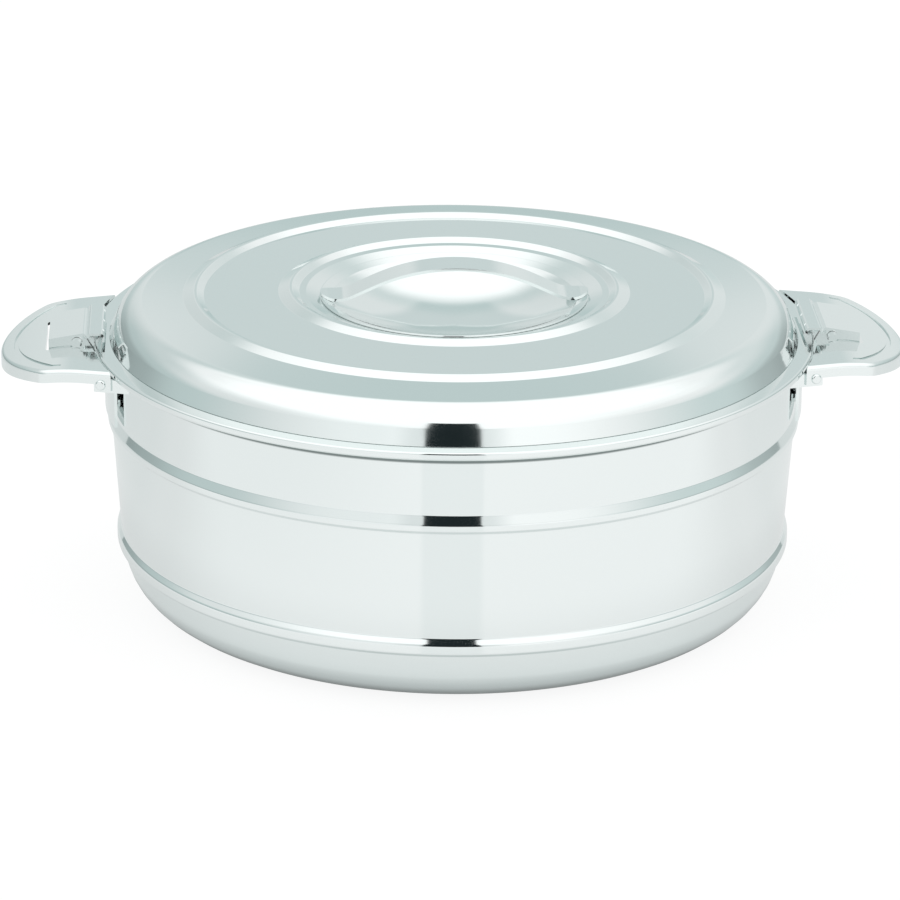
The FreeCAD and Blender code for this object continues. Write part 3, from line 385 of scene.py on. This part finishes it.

# Painted shade: the strip that widens towards the camera.
shade_strip_side = number(sheet, "ABSOLUTE", (-1400, -800), across)
shade_strip_side = number(sheet, "MULTIPLY_ADD", (-1200, -800), along, SHADE_STRIP_SLOPE, shade_strip_side)
shade_strip = number(sheet, "MULTIPLY", (-700, -600), share(sheet, (-1000, -600), along, SHADE_STRIP_START),
              share(sheet, (-1000, -850), shade_strip_side, SHADE_STRIP_EDGE))
sheet_tone = blend(sheet, (-300, -200), shade_strip, sheet_tone, tint(sheet, (-500, -400), sheet_tone, SHADE_STRIP_TINT))
# Painted shade over the left side of the sheet.
left = share(sheet, (-1000, -1100), across, SHEET_LEFT)
sheet_tone = blend(sheet, (100, -200), left, sheet_tone, tint(sheet, (-100, -400), sheet_tone, SHEET_LEFT_SHADE))
print("sheet tones:", len(SHEET_LIGHT_TONES), "along the sheet and", len(FOOT_SHADOW_TONES), "round the foot")

# %% [markdown]
# ## What the lens sees of the table
# To the lens the sheet is mostly its own white, so it stays even from near to far. A share of real, lit white in it
# keeps the soft shadow under the pot.

# %% Finish the table
LENS_WHITE = (1.05, 1.05, 1.05)
LIT_WHITE = (0.9, 0.9, 0.9, 1.0)
LIT_SHARE = 0.16

rays = add_node(sheet, "ShaderNodeLightPath", (0, 400))
glow = add_node(sheet, "ShaderNodeEmission", (500, 100))
wire(sheet, blend(sheet, (300, 100), rays.outputs["Is Camera Ray"], sheet_tone, LENS_WHITE), glow.inputs["Color"])
glow.inputs["Strength"].default_value = 1.0
lit = add_node(sheet, "ShaderNodeBsdfDiffuse", (500, -100))
lit.inputs["Color"].default_value = LIT_WHITE
mixed = add_node(sheet, "ShaderNodeMixShader", (700, 0))
mixed.inputs["Fac"].default_value = LIT_SHARE
wire(sheet, glow.outputs[0], mixed.inputs[1])
wire(sheet, lit.outputs[0], mixed.inputs[2])
wire(sheet, mixed.outputs[0], add_node(sheet, "ShaderNodeOutputMaterial", (900, 0)).inputs["Surface"])
table.data.materials.append(white_sheet)
print("table finished with", len(sheet.nodes), "nodes")

# %% [markdown]
# ## Polished stainless steel
# Pressed steel that was buffed to a mirror is never quite even. Faint waves from the press bend the reflections, the
# buffing wheel leaves hair lines round the axis, and fingers leave a slight haze. One node group makes those three
# for every steel finish, and each material then sets how strong they are.

# %% Give the group of buffing marks its sockets
FINE_LINES = 700.0

marks = bpy.data.node_groups.new("buffing_marks", "ShaderNodeTree")
marks.interface.new_socket("Position", in_out="INPUT", socket_type="NodeSocketVector")
for name, start in (("Wave", 0.02), ("Hair lines", 0.01), ("Haze", 0.03), ("Shine", 0.05),
                    ("Lines across", FINE_LINES)):
    marks.interface.new_socket(name, in_out="INPUT", socket_type="NodeSocketFloat").default_value = start
marks.interface.new_socket("Roughness", in_out="OUTPUT", socket_type="NodeSocketFloat")
marks.interface.new_socket("Normal", in_out="OUTPUT", socket_type="NodeSocketVector")
given = add_node(marks, "NodeGroupInput", (-1200, 0))
put_out = add_node(marks, "NodeGroupOutput", (1000, 0))
print("group sockets:", [item.name for item in marks.interface.items_tree])

# %% [markdown]
# ## The hair lines
# The wheel draws a ring wherever it touches, so the lines follow the distance from the axis plus the height. That sum
# grows outwards over a flat sheet as well as up a wall, so both get their rings.

# %% Draw the hair lines round the axis
LINE_DETAIL = 2.0

ring_place = add_node(marks, "ShaderNodeSeparateXYZ", (-1000, 200))
wire(marks, given.outputs["Position"], ring_place.inputs["Vector"])
ring = number(marks, "MULTIPLY", (-800, 300), ring_place.outputs["X"], ring_place.outputs["X"])
ring = number(marks, "MULTIPLY_ADD", (-800, 150), ring_place.outputs["Y"], ring_place.outputs["Y"], ring)
ring = number(marks, "SQRT", (-600, 200), ring)
profile = number(marks, "ADD", (-450, 200), ring, ring_place.outputs["Z"])
lines = add_node(marks, "ShaderNodeTexNoise", (-100, 200), noise_dimensions="1D")
lines.inputs["Detail"].default_value = LINE_DETAIL
wire(marks, given.outputs["Lines across"], lines.inputs["Scale"])
wire(marks, profile, lines.inputs["W"])
line_haze = number(marks, "MULTIPLY", (100, 0), lines.outputs["Fac"], given.outputs["Hair lines"])
print("hair lines drawn")

# %% [markdown]
# ## The haze and the waves
# Only the brighter part of the smears becomes haze, so much of the steel stays clear. The waves are several
# centimetres long and go into the height, with a touch of the hair lines on top of them.

# %% Add the haze and the press waves
WAVE_SCALE, WAVE_DETAIL = 14.0, 1.0
SMEAR_SCALE, SMEAR_DETAIL = 30.0, 4.0
SMEAR_LIMITS = (0.45, 0.75)
LINE_DEPTH = 0.02
WAVE_DEPTH = 1.0 * MM

smear = noise(marks, (-600, -400), given.outputs["Position"], SMEAR_SCALE, SMEAR_DETAIL)
smear = share(marks, (-400, -400), smear, SMEAR_LIMITS)
haze = number(marks, "MULTIPLY_ADD", (100, -400), smear, given.outputs["Haze"], given.outputs["Shine"])
wire(marks, number(marks, "ADD", (300, -200), haze, line_haze), put_out.inputs["Roughness"])

waves = noise(marks, (-600, -100), given.outputs["Position"], WAVE_SCALE, WAVE_DETAIL)
press_wave = number(marks, "MULTIPLY", (100, 300), waves, given.outputs["Wave"])
press_wave = number(marks, "MULTIPLY_ADD", (300, 300), line_haze, LINE_DEPTH, press_wave)
wire(marks, relief(marks, (500, 200), press_wave, WAVE_DEPTH), put_out.inputs["Normal"])
print("the group of marks has", len(marks.nodes), "nodes")

# %% [markdown]
# ## One finish for each kind of steel
# The outer faces are buffed bright. The lid's pan keeps the softer look of turned steel, with rings that can be seen.
# The small folded pieces are bright too, but a little less even, and the springs are dull drawn wire.

# %% Make the finishes
def steel(name, colour, shine, haze, hair_lines, wave, lines_across=FINE_LINES):
    finish = bpy.data.materials.new(name)
    finish.use_nodes = True
    tree = finish.node_tree
    surface = tree.nodes["Principled BSDF"]
    surface.inputs["Base Color"].default_value = (*colour, 1.0)
    surface.inputs["Metallic"].default_value = 1.0
    spot = add_node(tree, "ShaderNodeTexCoord", (-800, 0))
    group = add_node(tree, "ShaderNodeGroup", (-400, 0), node_tree=marks)
    wire(tree, spot.outputs["Object"], group.inputs["Position"])
    for socket, value in (("Wave", wave), ("Hair lines", hair_lines), ("Haze", haze), ("Shine", shine),
                          ("Lines across", lines_across)):
        group.inputs[socket].default_value = value
    wire(tree, group.outputs["Roughness"], surface.inputs["Roughness"])
    wire(tree, group.outputs["Normal"], surface.inputs["Normal"])
    return finish


COOL_STEEL = (0.80, 0.845, 0.84)
PALE_STEEL = (0.70, 0.72, 0.715)
GREY_WIRE = (0.62, 0.63, 0.63)
CLOSE_LINES = 2200.0
mirror_steel = steel("mirror_steel", COOL_STEEL, shine=0.05, haze=0.03, hair_lines=0.02, wave=0.10)
folded_steel = steel("folded_steel", COOL_STEEL, shine=0.08, haze=0.05, hair_lines=0.0, wave=0.12)
turned_steel = steel("turned_steel", PALE_STEEL, shine=0.20, haze=0.05, hair_lines=0.12, wave=0.06,
                     lines_across=CLOSE_LINES)
wire_steel = steel("wire_steel", GREY_WIRE, shine=0.22, haze=0.08, hair_lines=0.0, wave=0.05)
wall_steel = steel("wall_steel", COOL_STEEL, shine=0.045, haze=0.03, hair_lines=0.02, wave=0.10)
print("finishes:", [finish.name for finish in (mirror_steel, folded_steel, turned_steel, wire_steel, wall_steel)])

# %% [markdown]
# ## Painted shade under the flange
# Right under the flange the wall lies in the shade of the rolled edge, so a narrow band there is painted dark grey as
# shade. It is a soft step along the height, in the base colour of the wall's steel.

# %% Darken the wall under the flange
# Painted shade: the band of the wall under the flange and its dark grey.
CREASE_SHADE_BAND = (103.5 * MM, 104.3 * MM)
CREASE_SHADE_GREY = (0.20, 0.235, 0.23)


# Paints shade into the wall's base colour: dark grey from the lower height of the band upwards.
def paint_crease_shade(finish, limits, dark):
    tree = finish.node_tree
    colour = tree.nodes["Principled BSDF"].inputs["Base Color"]
    spot = add_node(tree, "ShaderNodeTexCoord", (-1200, 500))
    parts = add_node(tree, "ShaderNodeSeparateXYZ", (-1000, 500))
    wire(tree, spot.outputs["Object"], parts.inputs["Vector"])
    band = share(tree, (-700, 500), parts.outputs["Z"], limits)
    wire(tree, blend(tree, (-300, 500), band, tuple(colour.default_value)[:3], dark), colour)


paint_crease_shade(wall_steel, CREASE_SHADE_BAND, CREASE_SHADE_GREY)
print("dark band from", round(CREASE_SHADE_BAND[0] / MM, 2), "mm up")

# %% [markdown]
# ## Sections of pressed sheet
# A pressed shell is one thin sheet turned about the axis. Its section is drawn the way a press tool is drawn: straight
# runs with a bend radius at each corner, for one face of the sheet, and the other face lies a thickness beside it.
# Every path here is a list of (radius, height, bend) in millimetres.

# %% Helper that lays one face of a sheet beside the other
LEAST_BEND = 0.05


def step_towards(a, b):
    length = math.dist(a[:2], b[:2])
    return ((b[0] - a[0]) / length, (b[1] - a[1]) / length)


def beside(path, distance):
    """The same path moved to its left, with its bends kept concentric."""
    moved = []
    for i, (r, z, bend) in enumerate(path):
        before = step_towards(path[i - 1], path[i]) if i > 0 else None
        after = step_towards(path[i], path[i + 1]) if i < len(path) - 1 else before
        before = before or after
        turn = before[0] * after[1] - before[1] * after[0]
        spread = 1.0 + before[0] * after[0] + before[1] * after[1]
        shift = ((-before[1] - after[1]) / spread * distance, (before[0] + after[0]) / spread * distance)
        if bend:
            bend = max(bend - math.copysign(distance, turn * distance), LEAST_BEND)
        moved.append((r + shift[0], z + shift[1], bend))
    return moved


print("a bend never gets tighter than", LEAST_BEND, "mm")

# %% [markdown]
# ## Drawing the bends
# Each corner becomes an arc. A guard point a little before and after it keeps the smooth shading of the arc from
# running out over the flat sheet beside it, which a mirror would show as a dent.

# %% Helper that rounds the corners of a path
STEPS_A_TURN = 40
FEWEST_STEPS = 3
GUARD = 0.08
STRAIGHT_ON = 0.01


def rounded(path, closed):
    """Points along a path, with each bend drawn as an arc that has a guard point at each end."""
    points = []
    count = len(path)
    for i, (r, z, bend) in enumerate(path):
        corner = bend > 0 and (closed or 0 < i < count - 1)
        if corner:
            before = step_towards(path[i - 1], path[i])
            after = step_towards(path[i], path[(i + 1) % count])
            turn = math.atan2(before[0] * after[1] - before[1] * after[0], before[0] * after[0] + before[1] * after[1])
        if not corner or abs(turn) < STRAIGHT_ON:
            points.append((r, z))
            continue
        reach = bend * math.tan(abs(turn) / 2)
        side = math.copysign(1.0, turn)
        centre = (r - before[0] * reach - before[1] * bend * side, z - before[1] * reach + before[0] * bend * side)
        steps = max(FEWEST_STEPS, math.ceil(STEPS_A_TURN * abs(turn) / (2 * math.pi)))
        first = math.atan2(z - before[1] * reach - centre[1], r - before[0] * reach - centre[0])
        points.append((r - before[0] * (reach + GUARD), z - before[1] * (reach + GUARD)))
        for k in range(steps + 1):
            angle = first + turn * k / steps
            points.append((centre[0] + bend * math.cos(angle), centre[1] + bend * math.sin(angle)))
        points.append((r + after[0] * (reach + GUARD), z + after[1] * (reach + GUARD)))
    return points


print("a full turn would be drawn in", STEPS_A_TURN, "steps")

# %% [markdown]
# ## Closing the section
# The path and the face beside it are joined into one loop. The sheet's free edges are rounded, as they are after the
# press has cut them, and an end that lies on the axis stays sharp, because it is the middle of the piece.

# %% Helper that closes the section of a sheet
EDGE_ROUND = 0.35
AXIS_WIDTH = 1e-3


def sheet_loop(path, thickness):
    loop = []
    for face in (path, beside(path, thickness)[::-1]):
        for i, (r, z, bend) in enumerate(face):
            free_edge = i in (0, len(face) - 1) and r > AXIS_WIDTH
            loop.append((max(r, 0.0), z, EDGE_ROUND * abs(thickness) if free_edge else bend))
    return loop


print("free edges are rounded by", EDGE_ROUND, "of the sheet's thickness")

# %% [markdown]
# ## Drawing a section in edit mode
# The section starts as a small plane whose corners are merged into one vertex. Extrude then draws the loop from it,
# vertex by vertex, and a last edge closes it.

# %% Helpers that draw a section in edit mode
def start_point():
    bpy.ops.object.select_all(action="DESELECT")
    bpy.ops.mesh.primitive_plane_add(size=MM)
    bpy.ops.object.mode_set(mode="EDIT")
    bpy.ops.mesh.select_all(action="SELECT")
    bpy.ops.mesh.merge(type="CENTER")


def draw_loop(points, closed):
    """Extrudes the point at the origin along a line of (x, y, z) points in millimetres."""
    bpy.ops.transform.translate(value=Vector(points[0]) * MM)
    here = Vector(points[0])
    for point in points[1:]:
        step = (Vector(point) - here) * MM
        bpy.ops.mesh.extrude_vertices_move(TRANSFORM_OT_translate={"value": step})
        here = Vector(point)
    if closed:
        bpy.ops.mesh.select_all(action="DESELECT")
        bpy.ops.object.mode_set(mode="OBJECT")
        mesh = bpy.context.object.data
        mesh.vertices[0].select = True
        mesh.vertices[len(mesh.vertices) - 1].select = True
        bpy.ops.object.mode_set(mode="EDIT")
        bpy.ops.mesh.edge_face_add()


print("drawing helpers ready")

# %% [markdown]
# ## Turning a section into a shell
# Spin turns the section once round the axis. Points on the axis meet in one pole, so the shell closes. The seam and
# the pole are merged before the normals are made to face outwards. Each shell then gets its name and its finish, is
# hung under the empty of the body it moves with, and the solid it stands for is hidden.

# %% Helpers that spin and finish a shell
TURNS = 240
MERGE_WITHIN = 0.002 * MM
SMOOTH_UP_TO = math.radians(40)


def finish_piece(name, finish, body, stands_for):
    bpy.ops.object.mode_set(mode="OBJECT")
    piece = bpy.context.object
    piece.name = name
    piece.data.name = name
    bpy.ops.object.shade_smooth_by_angle(angle=SMOOTH_UP_TO)
    piece.data.materials.clear()
    piece.data.materials.append(finish)
    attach(piece, body)
    for node in stands_for:
        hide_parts(node)
    print(name, "has", len(piece.data.polygons), "faces")


def spun_shell(name, path, thickness, finish, body, stands_for):
    off_axis = path[0][0] >= AXIS_WIDTH
    points = rounded(sheet_loop(path, thickness), closed=off_axis)
    start_point()
    draw_loop([(r, 0.0, z) for r, z in points], closed=off_axis)
    bpy.ops.mesh.select_all(action="SELECT")
    bpy.ops.mesh.spin(steps=TURNS, angle=2 * math.pi, center=(0, 0, 0), axis=(0, 0, 1))
    bpy.ops.mesh.select_all(action="SELECT")
    bpy.ops.mesh.remove_doubles(threshold=MERGE_WITHIN)
    bpy.ops.mesh.select_all(action="SELECT")
    bpy.ops.mesh.normals_make_consistent(inside=False)
    finish_piece(name, finish, body, stands_for)


print("shells are spun in", TURNS, "steps")

# %% [markdown]
# ## The main sizes
# The flange is the one size that everything else is measured from: the wall hangs under it, the lid sits on it and
# the handles start beside it. It and the lid's edge are read from the frame, so the new shells fit the old solids.

# %% Read the main sizes from the frame, in millimetres
def far_corner(node):
    return [round(value / MM, 2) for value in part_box(node)[1]]


FLANGE_RADIUS, _, FLANGE_TOP = far_corner("inner_bowl")
LID_RADIUS = far_corner("lid_outer_shell")[0]
SMALL_BEND = 1.0
print("flange: radius", FLANGE_RADIUS, "top", FLANGE_TOP, "| lid radius", LID_RADIUS)

# %% [markdown]
# ## The beads
# Two beads are pressed out of the wall and keep it round. Each rises steeply from below and falls back over a longer
# flank, and the upper one has the longer flank of the two.

# %% Set the sizes of a bead
BEAD_RISE = 1.6
BEAD_HALF = 3.65
BEAD_FOOT = 1.4
BEAD_CROWN = 2.2


def bead_on(radius, height, flank):
    """Path of a pressed bead, from below to above."""
    low, high = height - BEAD_HALF, height + BEAD_HALF
    crown = radius + BEAD_RISE
    return [(radius, low, SMALL_BEND), (crown, low + BEAD_FOOT, SMALL_BEND), (crown, high - flank, BEAD_CROWN),
            (radius, high, SMALL_BEND)]


print("a bead is", 2 * BEAD_HALF, "mm high")

# %% [markdown]
# ## The outer wall
# The wall stands on a narrow foot ring, turns up through a wide round corner, and carries the two beads. It widens a
# little towards the top, so that the press can let it go. Drawing the section as one line keeps the beads and the
# corner tangent to the wall, which a mirror needs: any kink would show as a line in the reflection.

# %% Spin the outer wall
FLANGE_WIDTH = 6.8
WALL_DRAFT = 3.0
WALL_SHEET = 0.8
WALL_EDGE_INSET = 1.6
BASE_DRAW = 7.0
BASE_ROUND = 23.8
BASE_RECESS = 2.0
FOOT_WIDTH = 9.0
LOW_BEAD, LOW_FLANK = 27.6, 2.3
HIGH_BEAD, HIGH_FLANK = FLANGE_TOP - 31.4, 3.6

wall_top = FLANGE_RADIUS - FLANGE_WIDTH
wall_low = wall_top - WALL_DRAFT
wall_end = FLANGE_TOP - 2 * WALL_SHEET
foot_inside = wall_low - BASE_ROUND - FOOT_WIDTH
wall_path = [(0, BASE_RECESS, 0), (foot_inside - 2 * BASE_RECESS, BASE_RECESS, BASE_RECESS),
             (foot_inside, 0.0, BASE_RECESS), (wall_low - BASE_DRAW, 0.0, BASE_ROUND)]
wall_path += bead_on(wall_low, LOW_BEAD, LOW_FLANK) + bead_on(wall_top, HIGH_BEAD, HIGH_FLANK)
wall_path += [(wall_top, wall_end, SMALL_BEND), (FLANGE_RADIUS - WALL_EDGE_INSET, wall_end, 0)]
spun_shell("outer_wall", wall_path, WALL_SHEET, wall_steel, "pot", ["outer_shell"])

# %% [markdown]
# ## The bowl and its rolled flange
# The bowl is pressed from a second sheet. Its flange reaches over the wall's edge and is rolled round it, which holds
# the two shells together without a weld. The roll is rounder below than above, so its under side falls into shade.

# %% Spin the bowl
BOWL_FLOOR = 15.0
BOWL_CORNER = 26.0
BOWL_INSET = 16.2
MOUTH_BEND = 1.5
HEM = 3.5
HEM_ROUND = 0.9
HEM_UNDER_ROUND = 1.7
HEM_RETURN = 3.9

bowl_radius = wall_top - BOWL_INSET
bowl_path = [(0, BOWL_FLOOR, 0), (bowl_radius, BOWL_FLOOR, BOWL_CORNER), (bowl_radius, FLANGE_TOP, MOUTH_BEND),
             (FLANGE_RADIUS, FLANGE_TOP, HEM_ROUND), (FLANGE_RADIUS, FLANGE_TOP - HEM, HEM_UNDER_ROUND),
             (FLANGE_RADIUS - HEM_RETURN, FLANGE_TOP - HEM, 0)]
spun_shell("food_bowl", bowl_path, -WALL_SHEET, mirror_steel, "pot", ["inner_bowl"])

# %% [markdown]
# ## The rings and the shelf of the lid
# Two embossed rings stiffen the lid's top. Inside the inner ring the sheet steps down a little and then leans gently
# towards the dish, which its edge carries.

# %% Set the sizes of the rings and the shelf
SKIRT_RUN = 6.1
DISH_RADIUS = 49.5
RING_OUTER_RUN = 5.0
RING_INNER_RUN = 3.4
RING_HEIGHT = 1.9
RING_BEND = 2.0
INNER_RING_RUN = 16.2
OUTER_RING_RUN = 28.7
INNER_RING_RISE = 18.8
OUTER_RING_RISE = 17.6
SHELF_DROP = 3.25
STEP_WIDTH = 2.6
STEP_FALL = 0.36

shoulder_radius = LID_RADIUS - SKIRT_RUN
inner_ring = DISH_RADIUS + INNER_RING_RUN
outer_ring = shoulder_radius - OUTER_RING_RUN
inner_crest = FLANGE_TOP + INNER_RING_RISE
outer_crest = FLANGE_TOP + OUTER_RING_RISE
shelf_radius = inner_ring - RING_INNER_RUN
shelf_lean = math.atan2(SHELF_DROP - STEP_FALL, shelf_radius - STEP_WIDTH - DISH_RADIUS)


def shelf_height(radius, above=0.0):
    """Top of the lid between the inner ring's step and the dish, or of a sheet that lies that much above it."""
    fall = STEP_FALL + (shelf_radius - STEP_WIDTH - radius) * math.tan(shelf_lean)
    return inner_crest - RING_HEIGHT - fall + above / math.cos(shelf_lean)


def ring_on(radius, crest):
    """Path of an embossed ring, from the inside out: a steep inner flank and a longer outer one."""
    return [(radius - RING_INNER_RUN, crest - RING_HEIGHT, SMALL_BEND), (radius, crest, RING_BEND),
            (radius + RING_OUTER_RUN, crest - RING_HEIGHT, SMALL_BEND)]


print("rings at", inner_ring, "and", outer_ring, "mm, shelf leans", round(math.degrees(shelf_lean), 1), "degrees")

# %% [markdown]
# ## The lid's top
# The top is almost flat outside its rings. Its shoulder is a wide soft bend, and the edge under the skirt is folded
# inwards, so that no raw steel shows.

# %% Spin the lid's top
LID_SHEET = 0.7
HOLE_GAP = 0.4
STEP_BEND = 2.0
SHOULDER_RISE = 12.8
SHOULDER_BEND = 13.0
LID_FOLD = 2.6
FOLD_BEND = 0.15
LID_LIFT = 0.05

hole_radius = DISH_RADIUS + LID_SHEET + HOLE_GAP
lid_path = [(hole_radius, shelf_height(hole_radius), 0),
            (shelf_radius - STEP_WIDTH, inner_crest - RING_HEIGHT - STEP_FALL, STEP_BEND)]
lid_path += ring_on(inner_ring, inner_crest) + ring_on(outer_ring, outer_crest)
lid_path += [(shoulder_radius, FLANGE_TOP + SHOULDER_RISE, SHOULDER_BEND),
             (LID_RADIUS, FLANGE_TOP + LID_LIFT, FOLD_BEND),
             (LID_RADIUS - LID_FOLD - SMALL_BEND, FLANGE_TOP + LID_LIFT, 0)]
spun_shell("lid_top", lid_path, -LID_SHEET, mirror_steel, "lid", ["lid_outer_shell"])

# %% [markdown]
# ## The lid's pan
# Under the top sits a pan that plugs the bowl, with the foam between the two. It is only turned bright, not buffed.
# Its channel holds the seal, and its edge lies over the fold of the lid's top.

# %% Spin the pan
PAN_SHEET = 0.6
PAN_CORNER = 5.0
PLUG_DEPTH = 6.5
PLUG_GAP = 2.0
SEAL_HEIGHT = 2.9
CHANNEL_INSET = 7.8
CHANNEL_BEND = 0.8
PAN_EDGE_HEIGHT = 1.0
PAN_EDGE_INSET = 1.8

plug_radius = bowl_radius - PLUG_GAP
channel_radius = LID_RADIUS - CHANNEL_INSET
pan_edge = FLANGE_TOP + PAN_EDGE_HEIGHT
pan_path = [(0, FLANGE_TOP - PLUG_DEPTH, 0), (plug_radius, FLANGE_TOP - PLUG_DEPTH, PAN_CORNER),
            (plug_radius, FLANGE_TOP + SEAL_HEIGHT, SMALL_BEND),
            (channel_radius, FLANGE_TOP + SEAL_HEIGHT, CHANNEL_BEND),
            (channel_radius, pan_edge, CHANNEL_BEND), (LID_RADIUS - PAN_EDGE_INSET, pan_edge, 0)]
spun_shell("lid_pan", pan_path, PAN_SHEET, turned_steel, "lid", ["lid_inner_shell"])

# %% [markdown]
# ## The finger dish
# The dish in the middle leaves room for the fingers under the strap. Its hollow is nearly one arc from rim to rim,
# and its lip lies on the lid's shelf, so the lip leans as the shelf does.

# %% Spin the dish
DISH_DEPTH = 11.5
DISH_LIP = 4.3
DISH_SEAT = 0.05
DISH_ARC = 0.96
RIM_BEND = 1.5

dish_slope = 2 * math.atan(DISH_DEPTH / DISH_RADIUS)
dish_rim = shelf_height(DISH_RADIUS, LID_SHEET + DISH_SEAT)
lip_radius = DISH_RADIUS + DISH_LIP
dish_path = [(0, dish_rim - DISH_DEPTH, 0),
             (DISH_RADIUS - DISH_DEPTH / math.tan(dish_slope), dish_rim - DISH_DEPTH,
              DISH_ARC * DISH_RADIUS / math.sin(dish_slope)),
             (DISH_RADIUS, dish_rim, RIM_BEND), (lip_radius, shelf_height(lip_radius, LID_SHEET + DISH_SEAT), 0)]
spun_shell("finger_dish", dish_path, -LID_SHEET, mirror_steel, "lid", ["grip_cup"])

# %% [markdown]
# ## The pieces that keep their solids
# Folded plates and pins are already right as solids, with smooth normals of their own. They only need their finish.

# %% Finish the carried pieces
def finish_solid(node, finish):
    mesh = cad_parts[node].data
    mesh.materials.clear()
    mesh.materials.append(finish)


FOLDED = ["grip_strap"] + [piece + side for side in SIDES for piece in
                           ("handle_plate_", "latch_lever_", "latch_pin_", "handle_rivets_", "handle_bracket_")]
for node in FOLDED:
    finish_solid(node, folded_steel)
print("folded pieces finished:", len(FOLDED))

# %% [markdown]
# ## The latch springs
# One leg of each spring rests on the bracket and the other lies under the thumb pad. A rigid spring would poke
# through the pad when it is pressed. Each spring here is a copy of its solid, in wire steel, and the solid is hidden.

# %% Copy the springs
WIRE_MERGE = 0.001 * MM


def bending_spring(side):
    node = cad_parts["latch_spring_" + side]
    coil = bpy.data.objects.new("latch_coil_" + side, node.data.copy())
    bpy.context.scene.collection.objects.link(coil)
    bpy.ops.object.select_all(action="DESELECT")
    coil.select_set(True)
    bpy.context.view_layer.objects.active = coil
    bpy.ops.object.mode_set(mode="EDIT")
    bpy.ops.mesh.select_all(action="SELECT")
    bpy.ops.mesh.remove_doubles(threshold=WIRE_MERGE)
    bpy.ops.object.mode_set(mode="OBJECT")
    coil.data.materials.clear()
    coil.data.materials.append(wire_steel)
    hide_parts("latch_spring_" + side)
    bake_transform(coil)
    return coil


springs = [bending_spring(side) for side in SIDES]
print("springs:", [len(coil.data.polygons) for coil in springs], "faces")

# %% [markdown]
# ## The seal and the foam
# Neither shows while the casserole is whole, but both are part of it. The seal is soft silicone with the faint dull
# grain of its mould. The foam is rigid and cream-coloured, with cells of about a millimetre and browner patches.
# Both are the same pattern of cells and clouds, with cells of another size and in other colours.

# %% Finish the seal and the foam
CLOUD_SCALE, CLOUD_DETAIL = 60.0, 5.0
CELL_SHARE = 0.35
PALE_AT, DARK_AT = 0.35, 0.85


def grainy(name, pale, dark, cell, roughness, depth):
    finish = bpy.data.materials.new(name)
    finish.use_nodes = True
    tree = finish.node_tree
    surface = tree.nodes["Principled BSDF"]
    surface.inputs["Roughness"].default_value = roughness
    spot = add_node(tree, "ShaderNodeTexCoord", (-1000, 0)).outputs["Object"]
    cells = add_node(tree, "ShaderNodeTexVoronoi", (-700, 100))
    cells.inputs["Scale"].default_value = 1.0 / cell
    wire(tree, spot, cells.inputs["Vector"])
    cloud = noise(tree, (-700, -200), spot, CLOUD_SCALE, CLOUD_DETAIL)
    tone = number(tree, "MULTIPLY_ADD", (-500, 0), cells.outputs["Distance"], CELL_SHARE, cloud)
    wire(tree, ramp(tree, (-300, 100), tone, [(PALE_AT, pale), (DARK_AT, dark)]), surface.inputs["Base Color"])
    wire(tree, relief(tree, (-300, -200), tone, depth), surface.inputs["Normal"])
    return finish


foam = grainy("rigid_foam", pale=(0.86, 0.80, 0.62), dark=(0.68, 0.58, 0.38), cell=1.1 * MM, roughness=0.85,
              depth=0.4 * MM)
silicone = grainy("seal_silicone", pale=(0.83, 0.83, 0.81), dark=(0.70, 0.71, 0.69), cell=0.35 * MM, roughness=0.55,
                  depth=0.04 * MM)
finish_solid("body_insulation", foam)
finish_solid("lid_insulation", foam)
finish_solid("lid_gasket", silicone)
print("finishes:", foam.name, silicone.name)
